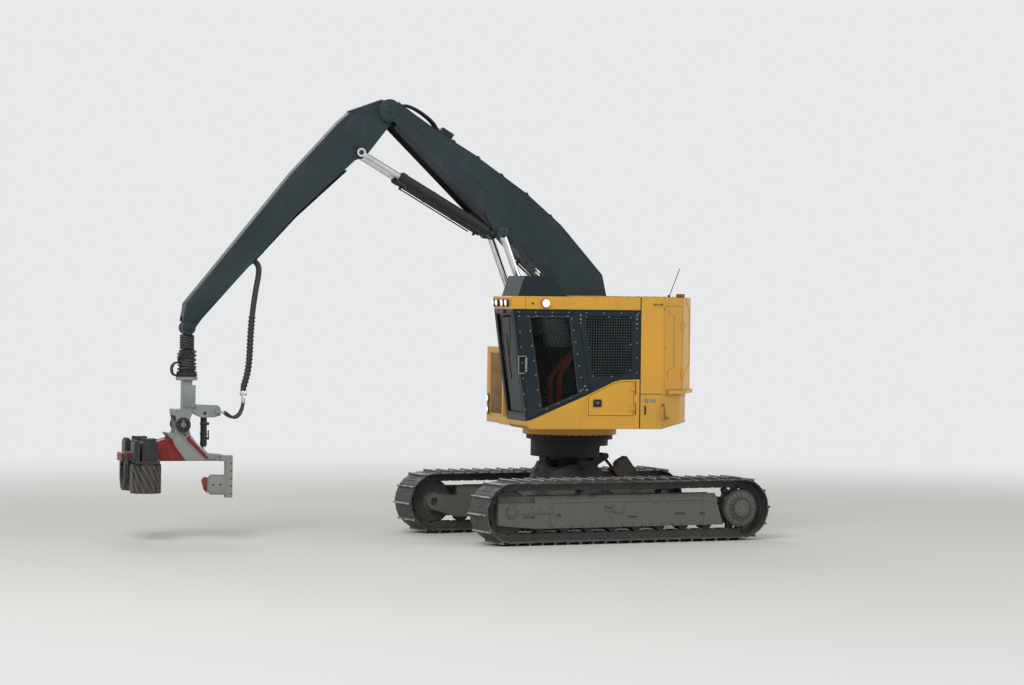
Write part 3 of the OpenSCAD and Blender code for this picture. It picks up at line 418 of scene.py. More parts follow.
def paintFinish(name, look):
    # enamel with fading, streaks, worn edges, dust and soil
    look = {**usual, **look}
    finish, tree, shader, place = startFinish(name)
    wear = placeGroup(tree, edgeWear, Radius=look["round"], Amount=look["wear"], Scale=look["wearScale"])
    soil = placeGroup(tree, soilAndDust, Soil_bottom=look["soilBottom"], Soil_top=look["soilTop"],
            Soil=look["soil"], Dust=look["dust"], Scale=look["soilScale"])
    rain = placeGroup(tree, rainStreaks, Amount=look["streaks"])
    fade = addRange(tree, addNoise(tree, place, 0.9, 4, 0.6), 0.3, 0.7)
    color = addMix(tree, fade, look["paint"], look["faded"])
    color = addMix(tree, rain["Mask"], color, look["streakColor"])
    color = addMix(tree, wear["Mask"], color, look["bare"])
    color = addMix(tree, soil["Mask"], color, look["soilColor"])
    if "tip" in look:
        color = addMix(tree, shoeTips(tree, look["loop"]), color, look["tip"])
    gloss = addMath(tree, "MULTIPLY", soil["Mask"], 0.9 - look["rough"])
    uneven = addMath(tree, "MULTIPLY", addNoise(tree, place, 14, 4, 0.6), 0.16)
    rough = addMath(tree, "ADD", addMath(tree, "ADD", gloss, uneven), look["rough"] - 0.06, True)
    if look["metal"]:
        setInputs(tree, shader, {"Metallic": addMath(tree, "MULTIPLY", wear["Mask"], look["metal"])})
    grain = addMath(tree, "MULTIPLY", soil["Grain"], soil["Mask"])
    skin = addMath(tree, "MULTIPLY", addNoise(tree, place, look["skinScale"], 2, 0.5), look["skin"])
    normal = addBump(tree, look["bump"], addMath(tree, "ADD", grain, skin), Normal=wear["Normal"])
    setInputs(tree, shader, {"Base Color": color, "Roughness": rough, "Specular IOR Level": look["shine"],
            "Coat Weight": look["coat"], "Coat Roughness": 0.25, "Normal": normal})
    return finish


looks = {
    "painted_yellow": {"paint": (0.66, 0.335, 0.028), "faded": (0.58, 0.305, 0.040), "bare": (0.11, 0.08, 0.05),
        "wear": 0.55, "soil": 0.45, "soilTop": 2.3, "dust": 0.30, "rough": 0.40, "streaks": 0.38,
        "streakColor": (0.17, 0.10, 0.04), "coat": 0.08, "shine": 0.35},
    "weight_iron": {"paint": (0.65, 0.33, 0.028), "faded": (0.56, 0.295, 0.040), "bare": (0.11, 0.08, 0.05),
        "wear": 0.6, "soil": 0.5, "soilTop": 2.4, "dust": 0.30, "rough": 0.44, "streaks": 0.42,
        "streakColor": (0.17, 0.10, 0.04), "coat": 0.06, "shine": 0.35, "round": 0.012, "skin": 0.5,
        "skinScale": 60},
    "painted_dark": {"paint": (0.004, 0.011, 0.016), "faded": (0.009, 0.019, 0.026), "bare": (0.13, 0.14, 0.14),
        "wear": 0.35, "soil": 0.3, "soilTop": 2.2, "dust": 0.18, "rough": 0.38, "streaks": 0.12,
        "streakColor": (0.06, 0.065, 0.06), "shine": 0.28},
    "boom_grey": {"paint": (0.013, 0.024, 0.029), "faded": (0.024, 0.038, 0.044), "bare": (0.16, 0.17, 0.165),
        "wear": 0.5, "soil": 0.4, "soilTop": 1.9, "dust": 0.40, "rough": 0.45, "streaks": 0.28,
        "streakColor": (0.075, 0.085, 0.08), "soilColor": (0.17, 0.19, 0.16), "shine": 0.28},
    # under_grey: the near-black paint is painted shade under the house on the levelling unit and carbody; the pale
    # soil below about 1.2 m is dust on the track frames
    "under_grey": {"paint": (0.010, 0.011, 0.012), "faded": (0.020, 0.021, 0.021), "bare": (0.22, 0.22, 0.21),
        "wear": 0.55, "soil": 1.0, "soilBottom": 0.70, "soilTop": 1.20, "dust": 0.45, "rough": 0.58, "streaks": 0.3,
        "streakColor": (0.045, 0.044, 0.04), "soilColor": (0.130, 0.128, 0.118), "skin": 0.6, "skinScale": 70,
        "metal": 0.5, "bump": 0.45, "shine": 0.3},
    "track_steel": {"paint": (0.021, 0.022, 0.022), "faded": (0.044, 0.044, 0.043), "bare": (0.46, 0.46, 0.45),
        "wear": 1.0, "wearScale": 5, "soil": 0.40, "soilTop": 1.3, "dust": 0.30, "rough": 0.45, "streaks": 0.1,
        "soilColor": (0.11, 0.10, 0.085), "skin": 0.8, "skinScale": 55, "metal": 0.9, "bump": 0.5, "round": 0.014,
        "shine": 0.4, "tip": (0.44, 0.44, 0.43), "loop": {"back": 0.21, "yaw": 10, "half": 1.998, "axle": 0.498,
        "plate": 0.480, "tip": 0.496}},
    "red_paint": {"paint": (0.20, 0.006, 0.008), "faded": (0.145, 0.007, 0.008), "bare": (0.22, 0.21, 0.20),
        "wear": 0.7, "wearScale": 6, "soil": 0.18, "soilTop": 1.9, "dust": 0.12, "rough": 0.40, "streaks": 0.25,
        "metal": 0.6, "coat": 0.05, "shine": 0.3},
    "pale_paint": {"paint": (0.235, 0.255, 0.250), "faded": (0.180, 0.195, 0.190), "bare": (0.12, 0.11, 0.10),
        "wear": 0.7, "soil": 0.5, "soilTop": 2.2, "dust": 0.35, "rough": 0.42, "streaks": 0.40, "metal": 0.5},
    "black_paint": {"paint": (0.008, 0.008, 0.009), "faded": (0.018, 0.019, 0.020), "bare": (0.18, 0.18, 0.17),
        "wear": 0.5, "soil": 0.35, "soilTop": 1.9, "dust": 0.22, "rough": 0.36, "streaks": 0.15, "shine": 0.35},
}
variants = {  # finishes of small pieces that share a slot with another
    # brown of rusty fittings; on the fold strips and the weight grab handle this brown is painted shade
    "rustAndShade": {"paint": (0.15, 0.075, 0.028), "faded": (0.25, 0.125, 0.045), "bare": (0.08, 0.05, 0.03), "wear": 0.6,
        "soil": 0.4, "soilTop": 2.3, "dust": 0.25, "rough": 0.62, "streaks": 0.4, "shine": 0.3},
    # pale paint of the stick's top plate: painted sheen on its upper face, with real dust over it
    "dustAndSheenTop": {"paint": (0.15, 0.18, 0.15), "faded": (0.095, 0.115, 0.10), "bare": (0.30, 0.31, 0.29),
        "wear": 0.5, "soil": 0.2, "soilTop": 1.9, "dust": 0.30, "rough": 0.55, "streaks": 0.5,
        "streakColor": (0.04, 0.05, 0.05), "shine": 0.3},
    "guardWire": {"paint": (0.016, 0.028, 0.032), "faded": (0.030, 0.046, 0.050), "bare": (0.16, 0.17, 0.165),
        "wear": 0.4, "soil": 0.3, "soilTop": 2.2, "dust": 0.3, "rough": 0.45, "streaks": 0.1, "shine": 0.4},
    "beltWeb": {"paint": (0.62, 0.10, 0.025), "faded": (0.50, 0.09, 0.03), "bare": (0.30, 0.05, 0.02), "wear": 0.2,
        "soil": 0.0, "dust": 0.0, "rough": 0.8, "streaks": 0.0, "skin": 0.9, "skinScale": 400, "shine": 0.2},
    "wornSteel": {"paint": (0.16, 0.165, 0.165), "faded": (0.09, 0.095, 0.095), "bare": (0.42, 0.42, 0.41),
        "wear": 1.0, "soil": 0.25, "soilTop": 1.6, "dust": 0.2, "rough": 0.38, "streaks": 0.1, "metal": 0.9},
}


def chromeFinish(name):
    finish, tree, shader, place = startFinish(name)
    film = addRange(tree, addNoise(tree, place, 6, 4, 0.6), 0.45, 0.75)
    color = addMix(tree, film, (0.72, 0.73, 0.74), (0.52, 0.50, 0.47))
    rough = addMath(tree, "ADD", addMath(tree, "MULTIPLY", film, 0.18), 0.09)
    setInputs(tree, shader, {"Metallic": 1, "Base Color": color, "Roughness": rough})
    return finish


def rubberFinish(name):
    finish, tree, shader, place = startFinish(name)
    soil = placeGroup(tree, soilAndDust, Soil_top=2.2, Soil=0.35, Dust=0.35, Scale=5)
    worn = addRange(tree, addNoise(tree, place, 24, 4, 0.65), 0.35, 0.7)
    color = addMix(tree, worn, (0.014, 0.014, 0.015), (0.034, 0.033, 0.032))
    color = addMix(tree, soil["Mask"], color, (0.20, 0.17, 0.13))
    rough = addMath(tree, "ADD", addMath(tree, "MULTIPLY", worn, 0.25), 0.48)
    normal = addBump(tree, 0.3, addNoise(tree, place, 220, 2, 0.5))
    setInputs(tree, shader, {"Base Color": color, "Roughness": rough, "Normal": normal})
    return finish


def seatFinish(name):
    finish, tree, shader, place = startFinish(name)
    weave = addNode(tree, "TexWave", {"Scale": 130, "Vector": place}, bands_direction="DIAGONAL").outputs["Fac"]
    rub = addRange(tree, addNoise(tree, place, 8, 4, 0.6), 0.4, 0.7)
    color = addMix(tree, weave, (0.022, 0.022, 0.025), (0.05, 0.05, 0.054))
    color = addMix(tree, rub, color, (0.075, 0.072, 0.07))
    normal = addBump(tree, 0.4, weave)
    setInputs(tree, shader, {"Base Color": color, "Roughness": 0.88, "Sheen Weight": 0.25, "Normal": normal})
    return finish


def glassFinish(name, tint, bend, cover):
    # pane with a film of dust: tint and cover say how much light it holds back, bend how much it mirrors
    finish, tree, shader, place = startFinish(name)
    film = addRange(tree, addNoise(tree, place, 2.6, 5, 0.65), 0.42, 0.75)
    color = addMix(tree, film, tint, tuple(part * 0.8 for part in tint))
    setInputs(tree, shader, {"Base Color": color, "Transmission Weight": 0.97, "Metallic": 0, "IOR": bend,
            "Alpha": cover, "Roughness": 0})
    return finish


def lensFinish(name):
    finish, tree, shader, place = startFinish(name)
    ribs = addNode(tree, "TexWave", {"Scale": 40, "Vector": place}, bands_direction="Y").outputs["Fac"]
    color = addMix(tree, ribs, (0.80, 0.80, 0.76), (0.93, 0.93, 0.90))
    glow = addMix(tree, ribs, (0.85, 0.83, 0.76), (1.0, 0.97, 0.90))
    setInputs(tree, shader, {"Base Color": color, "Emission Color": glow, "Emission Strength": 0.4,
            "Roughness": 0.12})
    return finish


finishes = {name: paintFinish(name, look) for name, look in {**looks, **variants}.items()}
finishes["chrome"] = chromeFinish("chrome")
finishes["hose_rubber"] = rubberFinish("hoseRubber")
finishes["seat_fabric"] = seatFinish("seatCloth")
finishes["glass"] = glassFinish("cabPane", (0.040, 0.056, 0.053), 1.12, 0.92)
finishes["lamp_lens"] = lensFinish("lampLens")
doorPane = glassFinish("doorPane", (0.10, 0.12, 0.115), 1.18, 0.62)

for part in frame["record"]["subparts"]:
    node = nodes[part["node"]]
    node.data.materials.clear()
    node.data.materials.append(doorPane if part["node"] == "cab_door_glass" else finishes[part["material_slot"]])
print("materials placed on the frame")


def placed(point, direction=up):
    return Matrix.Translation(Vector(point)) @ Vector(direction).to_track_quat("Z", "Y").to_matrix().to_4x4()


def scatter(seed, spots):
    # copies the seed, drawn at the origin along +Z, to each spot, and joins the copies
    twins = []
    for spot in spots:
        twins.append(copyPiece(seed))
        twins[-1].data.transform(spot)
    bpy.data.objects.remove(seed)
    return joinPieces("scattered", twins)


def hexBolt(size, height, washer=1.5):
    head = pick(rod((0, 0, 0), (0, 0, height), size, 6))
    bpy.ops.object.mode_set(mode="EDIT")
    bpy.ops.mesh.select_mode(type="FACE")
    bpy.ops.mesh.select_all(action="DESELECT")
    bpy.ops.object.mode_set(mode="OBJECT")
    for face in head.data.polygons:
        face.select = face.normal.z > 0.9
    bpy.ops.object.mode_set(mode="EDIT")
    bpy.ops.mesh.inset(thickness=size * 0.16, depth=height * 0.18)
    bpy.ops.object.mode_set(mode="OBJECT")
    return joinPieces("hexBolt", [head, rod((0, 0, -height * 0.3), (0, 0, height * 0.25), size * washer, 12)])


def boltRow(start, end, count, direction, size=0.012, height=0.01, washer=1.5):
    start, end = Vector(start), Vector(end)
    spots = [placed(start.lerp(end, i / max(1, count - 1)), direction) for i in range(count)]
    return scatter(hexBolt(size, height, washer), spots)


def boltRing(middle, radius, count, direction, size=0.012, height=0.012):
    facing = placed(middle, direction)
    spots = [facing @ Matrix.Translation((x, y, 0)) for x, y in roundOutline((0, 0), radius, count)]
    return scatter(hexBolt(size, height), spots)


sunk = 0.002  # how deep a bar's foot stands in the face below


def strip(points, width, thick, direction, edge=0.003):
    # flat bar that follows points on a face whose outward direction is given
    out = Vector(direction).normalized()
    bars = []
    for a, b in zip(points, points[1:]):
        a, b = Vector(a), Vector(b)
        along = (b - a).normalized()
        across = out.cross(along).normalized() * width / 2
        grow = along * width * 0.25
        clearSelection()
        bpy.ops.mesh.primitive_plane_add(size=1)
        bar = newest("bar")
        corners = [end + shift for shift in (-across, across) for end in (a - grow, b + grow)]
        for corner, place in zip(bar.data.vertices, corners):
            corner.co = place - out * sunk
        extrude(bar, out * (thick + sunk))
        bars.append(soften(bar, edge, 1) if edge else bar)
    return joinPieces("strip", bars)


def curvePoints(points, steps):
    # smooth line through the points
    knots = [Vector(p) for p in points]
    knots = [knots[0] * 2 - knots[1]] + knots + [knots[-1] * 2 - knots[-2]]
    line = []
    for a, b, c, d in zip(knots, knots[1:], knots[2:], knots[3:]):
        for i in range(steps):
            t = i / steps
            near = 2 * b + (c - a) * t + (2 * a - 5 * b + 4 * c - d) * t ** 2
            line.append(0.5 * (near + (3 * b - a - 3 * c + d) * t ** 3))
    return line + [knots[-2]]


hoses = {
    "drop": [(5.1098, 0, 4.2754), (5.043, 0, 4.215), (5.018, 0, 4.13), (5.03, 0, 4.0), (5.065, 0, 3.8),
        (5.1, 0, 3.55), (5.125, 0, 3.3), (5.14, 0, 3.05), (5.15, 0, 2.8), (5.17, 0, 2.6), (5.205, 0, 2.44),
        (5.235, 0, 2.34), (5.24, 0, 2.27), (5.24, 0, 2.2003)],
    "head": [(5.24, 0.024, 2.2), (5.24, 0.024, 2.11), (5.26, 0.04, 2.0), (5.305, 0.07, 1.91), (5.375, 0.098, 1.868),
        (5.45, 0.113, 1.885), (5.52, 0.117, 1.935), (5.57, 0.117, 1.96), (5.6097, 0.117, 1.96)],
    "dropRadius": 0.044, "ribRadius": 0.0555, "ribPitch": 0.058, "ribTop": 3.45, "headRadius": 0.0215,
}


def makeHoses():
    route = curvePoints(hoses["drop"], 4)
    drop = dress("dropHoseTube", pipe(route, hoses["dropRadius"], 24), "stick", "hose_rubber")
    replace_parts(drop, "drop_hose")
    seed = rod((0, 0, -0.013), (0, 0, 0.013), hoses["ribRadius"], 20, 0.006)
    spots, travelled, due = [], 0.0, 0.05
    for a, b in zip(route, route[1:]):
        while due < travelled + (b - a).length:
            spot = a.lerp(b, (due - travelled) / (b - a).length)
            if spot.z < hoses["ribTop"]:
                spots.append(placed(spot, b - a))
            due += hoses["ribPitch"]
        travelled += (b - a).length
    ribs = dress("dropHoseRibs", scatter(seed, spots[:-2]), "stick", "hose_rubber")
    low = route[-1]
    plug = [rod(low + Vector((0, 0, 0.07)), low + Vector((0, 0, 0.001)), 0.0555, 24, 0.006),
            rod(low + Vector((0, 0, 0.05)), low + Vector((0, 0, 0.025)), 0.0575, 8, 0.002)]
    end = dress("dropHoseUnion", plug, "stick", "chrome")
    twins = []
    for side, name in ((1, "headHoseLeft"), (-1, "headHoseRight")):
        line = curvePoints([(x, side * y, z) for x, y, z in hoses["head"]], 4)
        hose = dress(name, pipe(line, hoses["headRadius"], 16), "head_yoke", "hose_rubber")
        ends = (line[-1], line[-6]), (line[0] - Vector((0, 0, 0.001)), line[5])
        cuffs = [rod(a, b, 0.026, 18, 0.003) for a, b in ends]
        cuff = dress(name + "Cuffs", cuffs, "head_yoke", "chrome")
        twins.append(hose)
    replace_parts(twins[0], "head_hoses")


makeHoses()
print("hoses made")

seat = {
    "cushion": ((0.275, 0.79, 2.108), (0.765, 1.21, 2.215)), "back": ((0.232, 0.81, 2.20), (0.338, 1.19, 2.94)),
    "corner": 0.034, "voxel": 0.011, "pressure": 4.0, "swell": 0.013, "channel": 0.007, "channelWidth": 0.012,
}


def seatPad(name, low, high, channels, facing):
    # block swollen like foam under cloth, then drawn in along its sewn channels
    pad = box(low, high, seat["corner"])
    low, high, facing = Vector(low), Vector(high), Vector(facing)
    pick(pad)
    remesh = pad.modifiers.new("remesh", "REMESH")
    remesh.mode = "VOXEL"
    remesh.voxel_size = seat["voxel"]
    bpy.ops.object.modifier_apply(modifier="remesh")
    flat = [corner.co.copy() for corner in pad.data.vertices]
    cloth = pad.modifiers.new("swell", "CLOTH")
    cloth.settings.use_pressure = True
    cloth.settings.uniform_pressure_force = seat["pressure"]
    cloth.settings.effector_weights.gravity = 0
    cloth.point_cache.frame_end = 20
    for step in range(1, 21):
        bpy.context.scene.frame_set(step)
    bpy.ops.object.modifier_apply(modifier="swell")
    bpy.context.scene.frame_set(1)
    for corner, rest in zip(pad.data.vertices, flat):
        move = corner.co - rest
        corner.co = rest + move * min(1, seat["swell"] / max(move.length, 1e-6))
    for corner in pad.data.vertices:
        near = min(abs(corner.co[axis] - at) for axis, at in channels)
        if (corner.co - low).dot(facing) > (high - low).dot(facing) * 0.5:
            corner.co -= facing * seat["channel"] * math.exp(-(near / seat["channelWidth"]) ** 2)
    rounder = pad.modifiers.new("smooth", "SUBSURF")
    rounder.levels = rounder.render_levels = 1
    bpy.ops.object.modifier_apply(modifier="smooth")
    bpy.ops.object.shade_smooth()
    dress(name, pad, "house", "seat_fabric")


def makeSeat():
    seatPad("seatCushion", *seat["cushion"], [(0, 0.42), (0, 0.58), (1, 0.87), (1, 1.13)], (0, 0, 1))
    seatPad("seatBack", *seat["back"], [(2, 2.42), (2, 2.70), (1, 0.88), (1, 1.12)], (1, 0, 0))
    stand = [box((0.33, 0.88, 1.931), (0.64, 1.12, 1.962), 0.008), box((0.30, 0.82, 2.066), (0.73, 1.18, 2.102),
            0.010)]
    for i in range(4):
        z = 1.962 + i * 0.026
        fold = 0.008 * (i % 2)
        stand.append(box((0.355 + fold, 0.905 + fold, z), (0.615 - fold, 1.095 - fold, z + 0.026), 0.006))
    for y in (0.74, 1.27):
        stand.append(box((0.385, y - 0.038, 2.262), (0.795, y + 0.038, 2.328), 0.018))
        stand.append(box((0.39, y - 0.022, 2.20), (0.45, y + 0.022, 2.27), 0.006))
    stand.append(box((0.385, 0.71, 2.222), (0.445, 1.30, 2.258), 0.006))
    stand.append(rod((0.285, 0.95, 2.93), (0.285, 0.95, 2.948), 0.012, 12))
    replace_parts(dress("seatStand", stand, "house", "black_paint"), "cab_seat")


makeSeat()
print("seat padded")

chain = {"pitch": 0.216, "count": 48, "teeth": 11, "gauge": 2.74, "yaw": 10.0, "back": 0.21, "plate": 0.075,
        "grouser": 0.12}
chain["pinRadius"] = chain["teeth"] * chain["pitch"] / (2 * math.pi)
chain["base"] = (chain["count"] - chain["teeth"]) * chain["pitch"] / 2
chain["axle"] = chain["pinRadius"] + chain["grouser"]
trackTurn = Matrix.Rotation(math.radians(chain["yaw"]), 4, "Z")


def trackSides(name, parts, slot="under_grey"):
    # a piece drawn for the left track's own frame, placed on both tracks
    piece = joinPieces(name + "Left", parts)
    for side, piece, tag in ((1, piece, "Left"), (-1, mirrorY(piece), "Right")):
        piece.data.transform(trackTurn @ Matrix.Translation((-chain["back"], side * chain["gauge"] / 2, 0)))
        dress(name + tag, piece, "undercarriage", slot)


def loopSpot(s, across, height):
    # place at distance s along the chain, facing out of the loop
    base, radius = chain["base"], chain["pinRadius"]
    arc = math.pi * radius
    s %= 2 * base + 2 * arc
    if s < base:
        x, z, angle = s - base / 2, radius, 0
    elif s < base + arc:
        angle = (s - base) / radius
        x, z = base / 2 + radius * math.sin(angle), radius * math.cos(angle)
    elif s < 2 * base + arc:
        x, z, angle = base / 2 - (s - base - arc), -radius, math.pi
    else:
        angle = math.pi + (s - 2 * base - arc) / radius
        x, z = -base / 2 + radius * math.sin(angle), radius * math.cos(angle)
    out = (math.sin(angle), 0, math.cos(angle))
    return placed((x + height * out[0], across, chain["axle"] + z + height * out[2]), out)


def makeTracks():
    shoeBolts, pins, nuts = [], [], []
    for i in range(chain["count"]):
        middle = (i + 0.5) * chain["pitch"]
        for across in (-0.105, -0.035, 0.035, 0.105):
            for along in (0.03, 0.07):
                shoeBolts.append(loopSpot(middle + along, across, chain["plate"] + 0.001))
        for across, facing in ((0.0925, 1), (-0.0925, -1), (0.0475, -1), (-0.0475, 1)):
            spot = loopSpot(middle - chain["pitch"] / 2, across, 0)
            pins.append(spot @ placed((0, 0, 0), (0, facing, 0)))
            for along in (-0.05, 0.05):
                nuts.append(loopSpot(middle + along, across, 0.035) @ placed((0, 0, 0), (0, facing, 0)))
    trackSides("shoeBolts", scatter(rod((0, 0, -0.003), (0, 0, 0.011), 0.013, 6), shoeBolts), "track_steel")
    trackSides("chainPins", scatter(rod((0, 0, -0.002), (0, 0, 0.007), 0.026, 12, tip=0.022), pins), "track_steel")
    trackSides("chainNuts", scatter(rod((0, 0, -0.002), (0, 0, 0.012), 0.013, 6), nuts), "track_steel")


makeTracks()


def makeTrackFrames():
    axle, half = chain["axle"], chain["base"] / 2
    drive = [rod((-half, near, axle), (-half, far, axle), radius, sides, edge)
            for near, far, radius, sides, edge in ((0.245, 0.268, 0.135, 40, 0.006),
            (0.215, 0.223, 0.262, 48, 0.003))]
    drive += [boltRing((-half, y, axle), radius, count, left, size, size)
            for y, radius, count, size in ((0.223, 0.237, 20, 0.013), (0.268, 0.108, 10, 0.009),
            (0.245, 0.168, 14, 0.010))]
    drive.append(rod((-half + 0.05, 0.268, axle + 0.03), (-half + 0.05, 0.278, axle + 0.03), 0.016, 6))
    trackSides("finalDrive", drive)
    cap = [rod((half, 0.2, axle), (half, 0.219, axle), 0.085, 32, 0.005),
            rod((half, 0.219, axle), (half, 0.226, axle), 0.045, 24, 0.004), boltRing((half, 0.219, axle), 0.066, 6,
            left, 0.009, 0.009)]
    trackSides("idlerCap", cap)
    plates = [plate([(1.30, 0.47), (1.96, 0.47), (2.02, 0.50), (2.02, 0.615), (1.30, 0.615)], 0.1995, 0.207, 0.003),
            plate([(0.06, 0.465), (0.24, 0.465), (0.24, 0.60), (0.06, 0.60)], 0.1995, 0.206, 0.003)]
    plates += [boltRow((start, y, z), (end, y, z), count, left, size, high)
            for start, end, y, z, count, size, high in ((1.36, 1.96, 0.207, 0.59, 5, 0.011, 0.010),
            (0.08, 0.22, 0.206, 0.58, 2, 0.009, 0.008), (0.08, 0.22, 0.206, 0.485, 2, 0.009, 0.008),
            (-1.30, 1.30, 0.2, 0.285, 16, 0.012, 0.012), (-1.10, -0.5, 0.2, 0.60, 4, 0.010, 0.010))]
    trackSides("framePlates", plates)
    beads = [pipe([(-1.34, y, z), (1.34, y, z)], 0.006) for y, z in ((0.2, 0.64), (0.125, 0.74))]
    beads += [pipe([(x, 0.2, 0.26), (x, 0.2, 0.64), (x, 0.125, 0.74)], 0.006) for x in (1.345, -1.345)]
    trackSides("frameWelds", beads)
    wheel = [boltRing((half, side * 0.1005, axle), radius, count, (0, side, 0), 0.012, 0.01) for side in (1, -1)
            for radius, count in ((0.20, 10), (0.11, 8))]
    wheel += [rod((half, side * 0.100, axle), (half, side * 0.106, axle), 0.155, 40, 0.003) for side in (1, -1)]
    trackSides("idlerHub", wheel)
    steps = []
    for x in (-0.9, -0.3, 0.3, 0.9):
        spots = [placed((x + dx, 0.135 + k * 0.016, 0.727 - k * 0.0213), (0, 0.8, 0.6))
                for dx in (-0.11, -0.055, 0, 0.055, 0.11) for k in (0, 2)]
        steps.append(scatter(rod((0, 0, -0.001), (0, 0, 0.006), 0.011, 8, tip=0.008), spots))
    trackSides("stepGrips", steps)


makeTrackFrames()


def makeLevelling():
    dress("tableBolts", boltRing((0, 0, 1.541), 0.592, 36, up, 0.013, 0.014), "tilt_table", "under_grey")
    rims = [rod((0, 0, low), (0, 0, low + 0.008), 0.6835, 96, 0.002) for low in (1.548, 1.60)]
    dress("bearingRims", rims, "tilt_table", "under_grey")
    dress("ringBolts", boltRing((0, 0, 1.6205), 0.71, 40, down, 0.011, 0.010), "house", "painted_yellow")
    caps = []
    for side in (1, -1):
        caps.append(rod((0, side * 0.475, 1.15), (0, side * 0.487, 1.15), 0.082, 32, 0.004))
        caps.append(boltRing((0, side * 0.487, 1.15), 0.06, 6, (0, side, 0), 0.009, 0.008))
    caps += [boltRow((start, 0.475, z), (end, 0.475, z), count, left, 0.012, 0.011)
            for start, end, z, count in ((0.63, 0.85, 0.68, 3), (-0.40, 0.80, 0.90, 7))]
    caps.append(pipe([(-0.48, 0.475, 0.86), (0.60, 0.475, 0.86)], 0.007))
    body = joinPieces("carbodyCaps", caps)
    body.data.transform(trackTurn)
    dress("carbodyCaps", body, "undercarriage", "under_grey")


makeLevelling()
print("undercarriage detailed")


def barHandle(start, end, out, rise=0.05, radius=0.009):
    # bow handle that stands off a face
    start, end, out = Vector(start), Vector(end), Vector(out).normalized()
    foot = (end - start).normalized() * rise * 0.5
    pts = [start - out * 0.002, start + out * rise * 0.6, start + foot + out * rise]
    pts += [end - foot + out * rise, end + out * rise * 0.6, end - out * 0.002]
    pads = [rod(p - out * 0.001, p + out * 0.006, radius * 2.1, 14, 0.002) for p in (start, end)]
    return joinPieces("handle", [pipe(curvePoints(pts, 3), radius, 10)] + pads)


cab = {"side": 1.5, "toe": 1.17, "low": 1.87, "slope": 0.23 / 1.705}


def cabFront(z):
    return cab["toe"] + (z - cab["low"]) * cab["slope"]


guardWay = [(0.250, 3.490), (-0.520, 3.490), (-0.520, 2.625), (-0.330, 2.545), (0.115, 2.545)]


def makeCabOutside():
    side = cab["side"]
    columns = (((1.185, 2.05), (1.297, 3.47), 7), ((0.955, 2.12), (1.152, 3.47), 7),
            ((0.262, 2.36), (0.455, 3.44), 7), ((0.52, 3.478), (1.02, 3.478), 3), ((0.46, 2.225), (0.84, 2.055), 3))
    door = [boltRow((a, side, b), (c, side, d), count, left, 0.0095, 0.007, 1.3)
            for (a, b), (c, d), count in columns]
    dress("doorBolts", door, "cab_door", "pale_paint")
    edge = [(0.918, 2.05), (1.13, 3.462), (0.488, 3.462), (0.338, 2.285), (0.918, 2.05)]
    seal = strip([(x, side, z) for x, z in edge], 0.016, 0.006, left, 0.0015)
    dress("doorSeal", seal, "cab_door", "hose_rubber")
    lock = [box((1.17, side - 0.001, 2.66), (1.23, side + 0.012, 2.78)),
            rod((1.2, side + 0.01, 2.69), (1.2, side + 0.02, 2.69), 0.012, 16, 0.002),
            box((1.182, side + 0.011, 2.715), (1.218, side + 0.026, 2.765), 0.006)]
    dress("doorLock", lock, "cab_door", "black_paint")
    bow = ((1.19, 0, 2.60), (1.19, 0.034, 2.60), (1.305, 0.040, 2.60), (1.305, 0.040, 2.86), (1.19, 0.034, 2.86),
            (1.19, 0, 2.86))
    grip = [pipe([(x, side + off, z) for x, off, z in bow], 0.0105, 10),
            rod((1.19, side + 0.05, 2.62), (1.19, side + 0.05, 2.84), 0.0165, 16, 0.003)]
    dress("doorGrip", grip, "cab_door", "pale_paint")
    bolts = [boltRow((a, side, b), (c, side, d), 4, left, 0.008, 0.006)
            for a, b, c, d in ((-0.62, 3.532, 0.22, 3.532), (0.50, 3.532, 1.30, 3.532), (-0.60, 2.62, -0.60, 3.30))]
    singles = ((0.316, 3.49), (0.316, 3.43), (0.316, 3.37), (0.316, 3.31), (0.20, 2.35), (0.23, 2.41), (0.19, 2.48),
            (0.30, 2.335), (-0.595, 3.50), (-0.595, 3.44), (-0.595, 3.37))
    bolts.append(scatter(hexBolt(0.011, 0.009), [placed((x, side, z), left) for x, z in singles]))
    dress("cabBolts", bolts, "house", "pale_paint")
    joints = [pipe([(cabFront(z) - 0.001, y, z) for z in (1.88, 3.56)], 0.006) for y in (0.502, 1.498)]
    joints.append(pipe([(-0.648, side, 2.52), (-0.648, side, 3.57)], 0.005))
    dress("cabWelds", joints, "house", "painted_dark")
    gutter = strip([(-0.645, side, 3.571), (1.395, side, 3.571)], 0.018, 0.016, left, 0.004)
    dress("rainGutter", gutter, "house", "painted_dark")
    band = [strip([(1.196, side, 3.585), (1.196, side, 3.765)], 0.006, 0.002, left, 0.001),
            rod((1.079, side - 0.001, 3.665), (1.079, side + 0.003, 3.665), 0.018, 16, 0.001)]
    dress("roofBand", band, "house", "painted_dark")
    roof = [box((-0.50, 0.62, 3.774), (0.45, 1.38, 3.784)), box((-0.38, 0.74, 3.783), (0.33, 1.26, 3.792), 0.005)]
    dress("roofHatch", roof, "house", "painted_yellow")
    hinges = []
    for x in (-0.25, 0.2):
        hinges += [box((x - 0.05, 0.60, 3.7835), (x + 0.05, 0.68, 3.791), 0.002),
                rod((x - 0.05, 0.603, 3.790), (x + 0.05, 0.603, 3.790), 0.008, 12)]
    hinges.append(boltRow((-0.46, 1.35, 3.784), (0.41, 1.35, 3.784), 7, up, 0.008, 0.006))
    dress("roofHinges", hinges, "house", "black_paint")


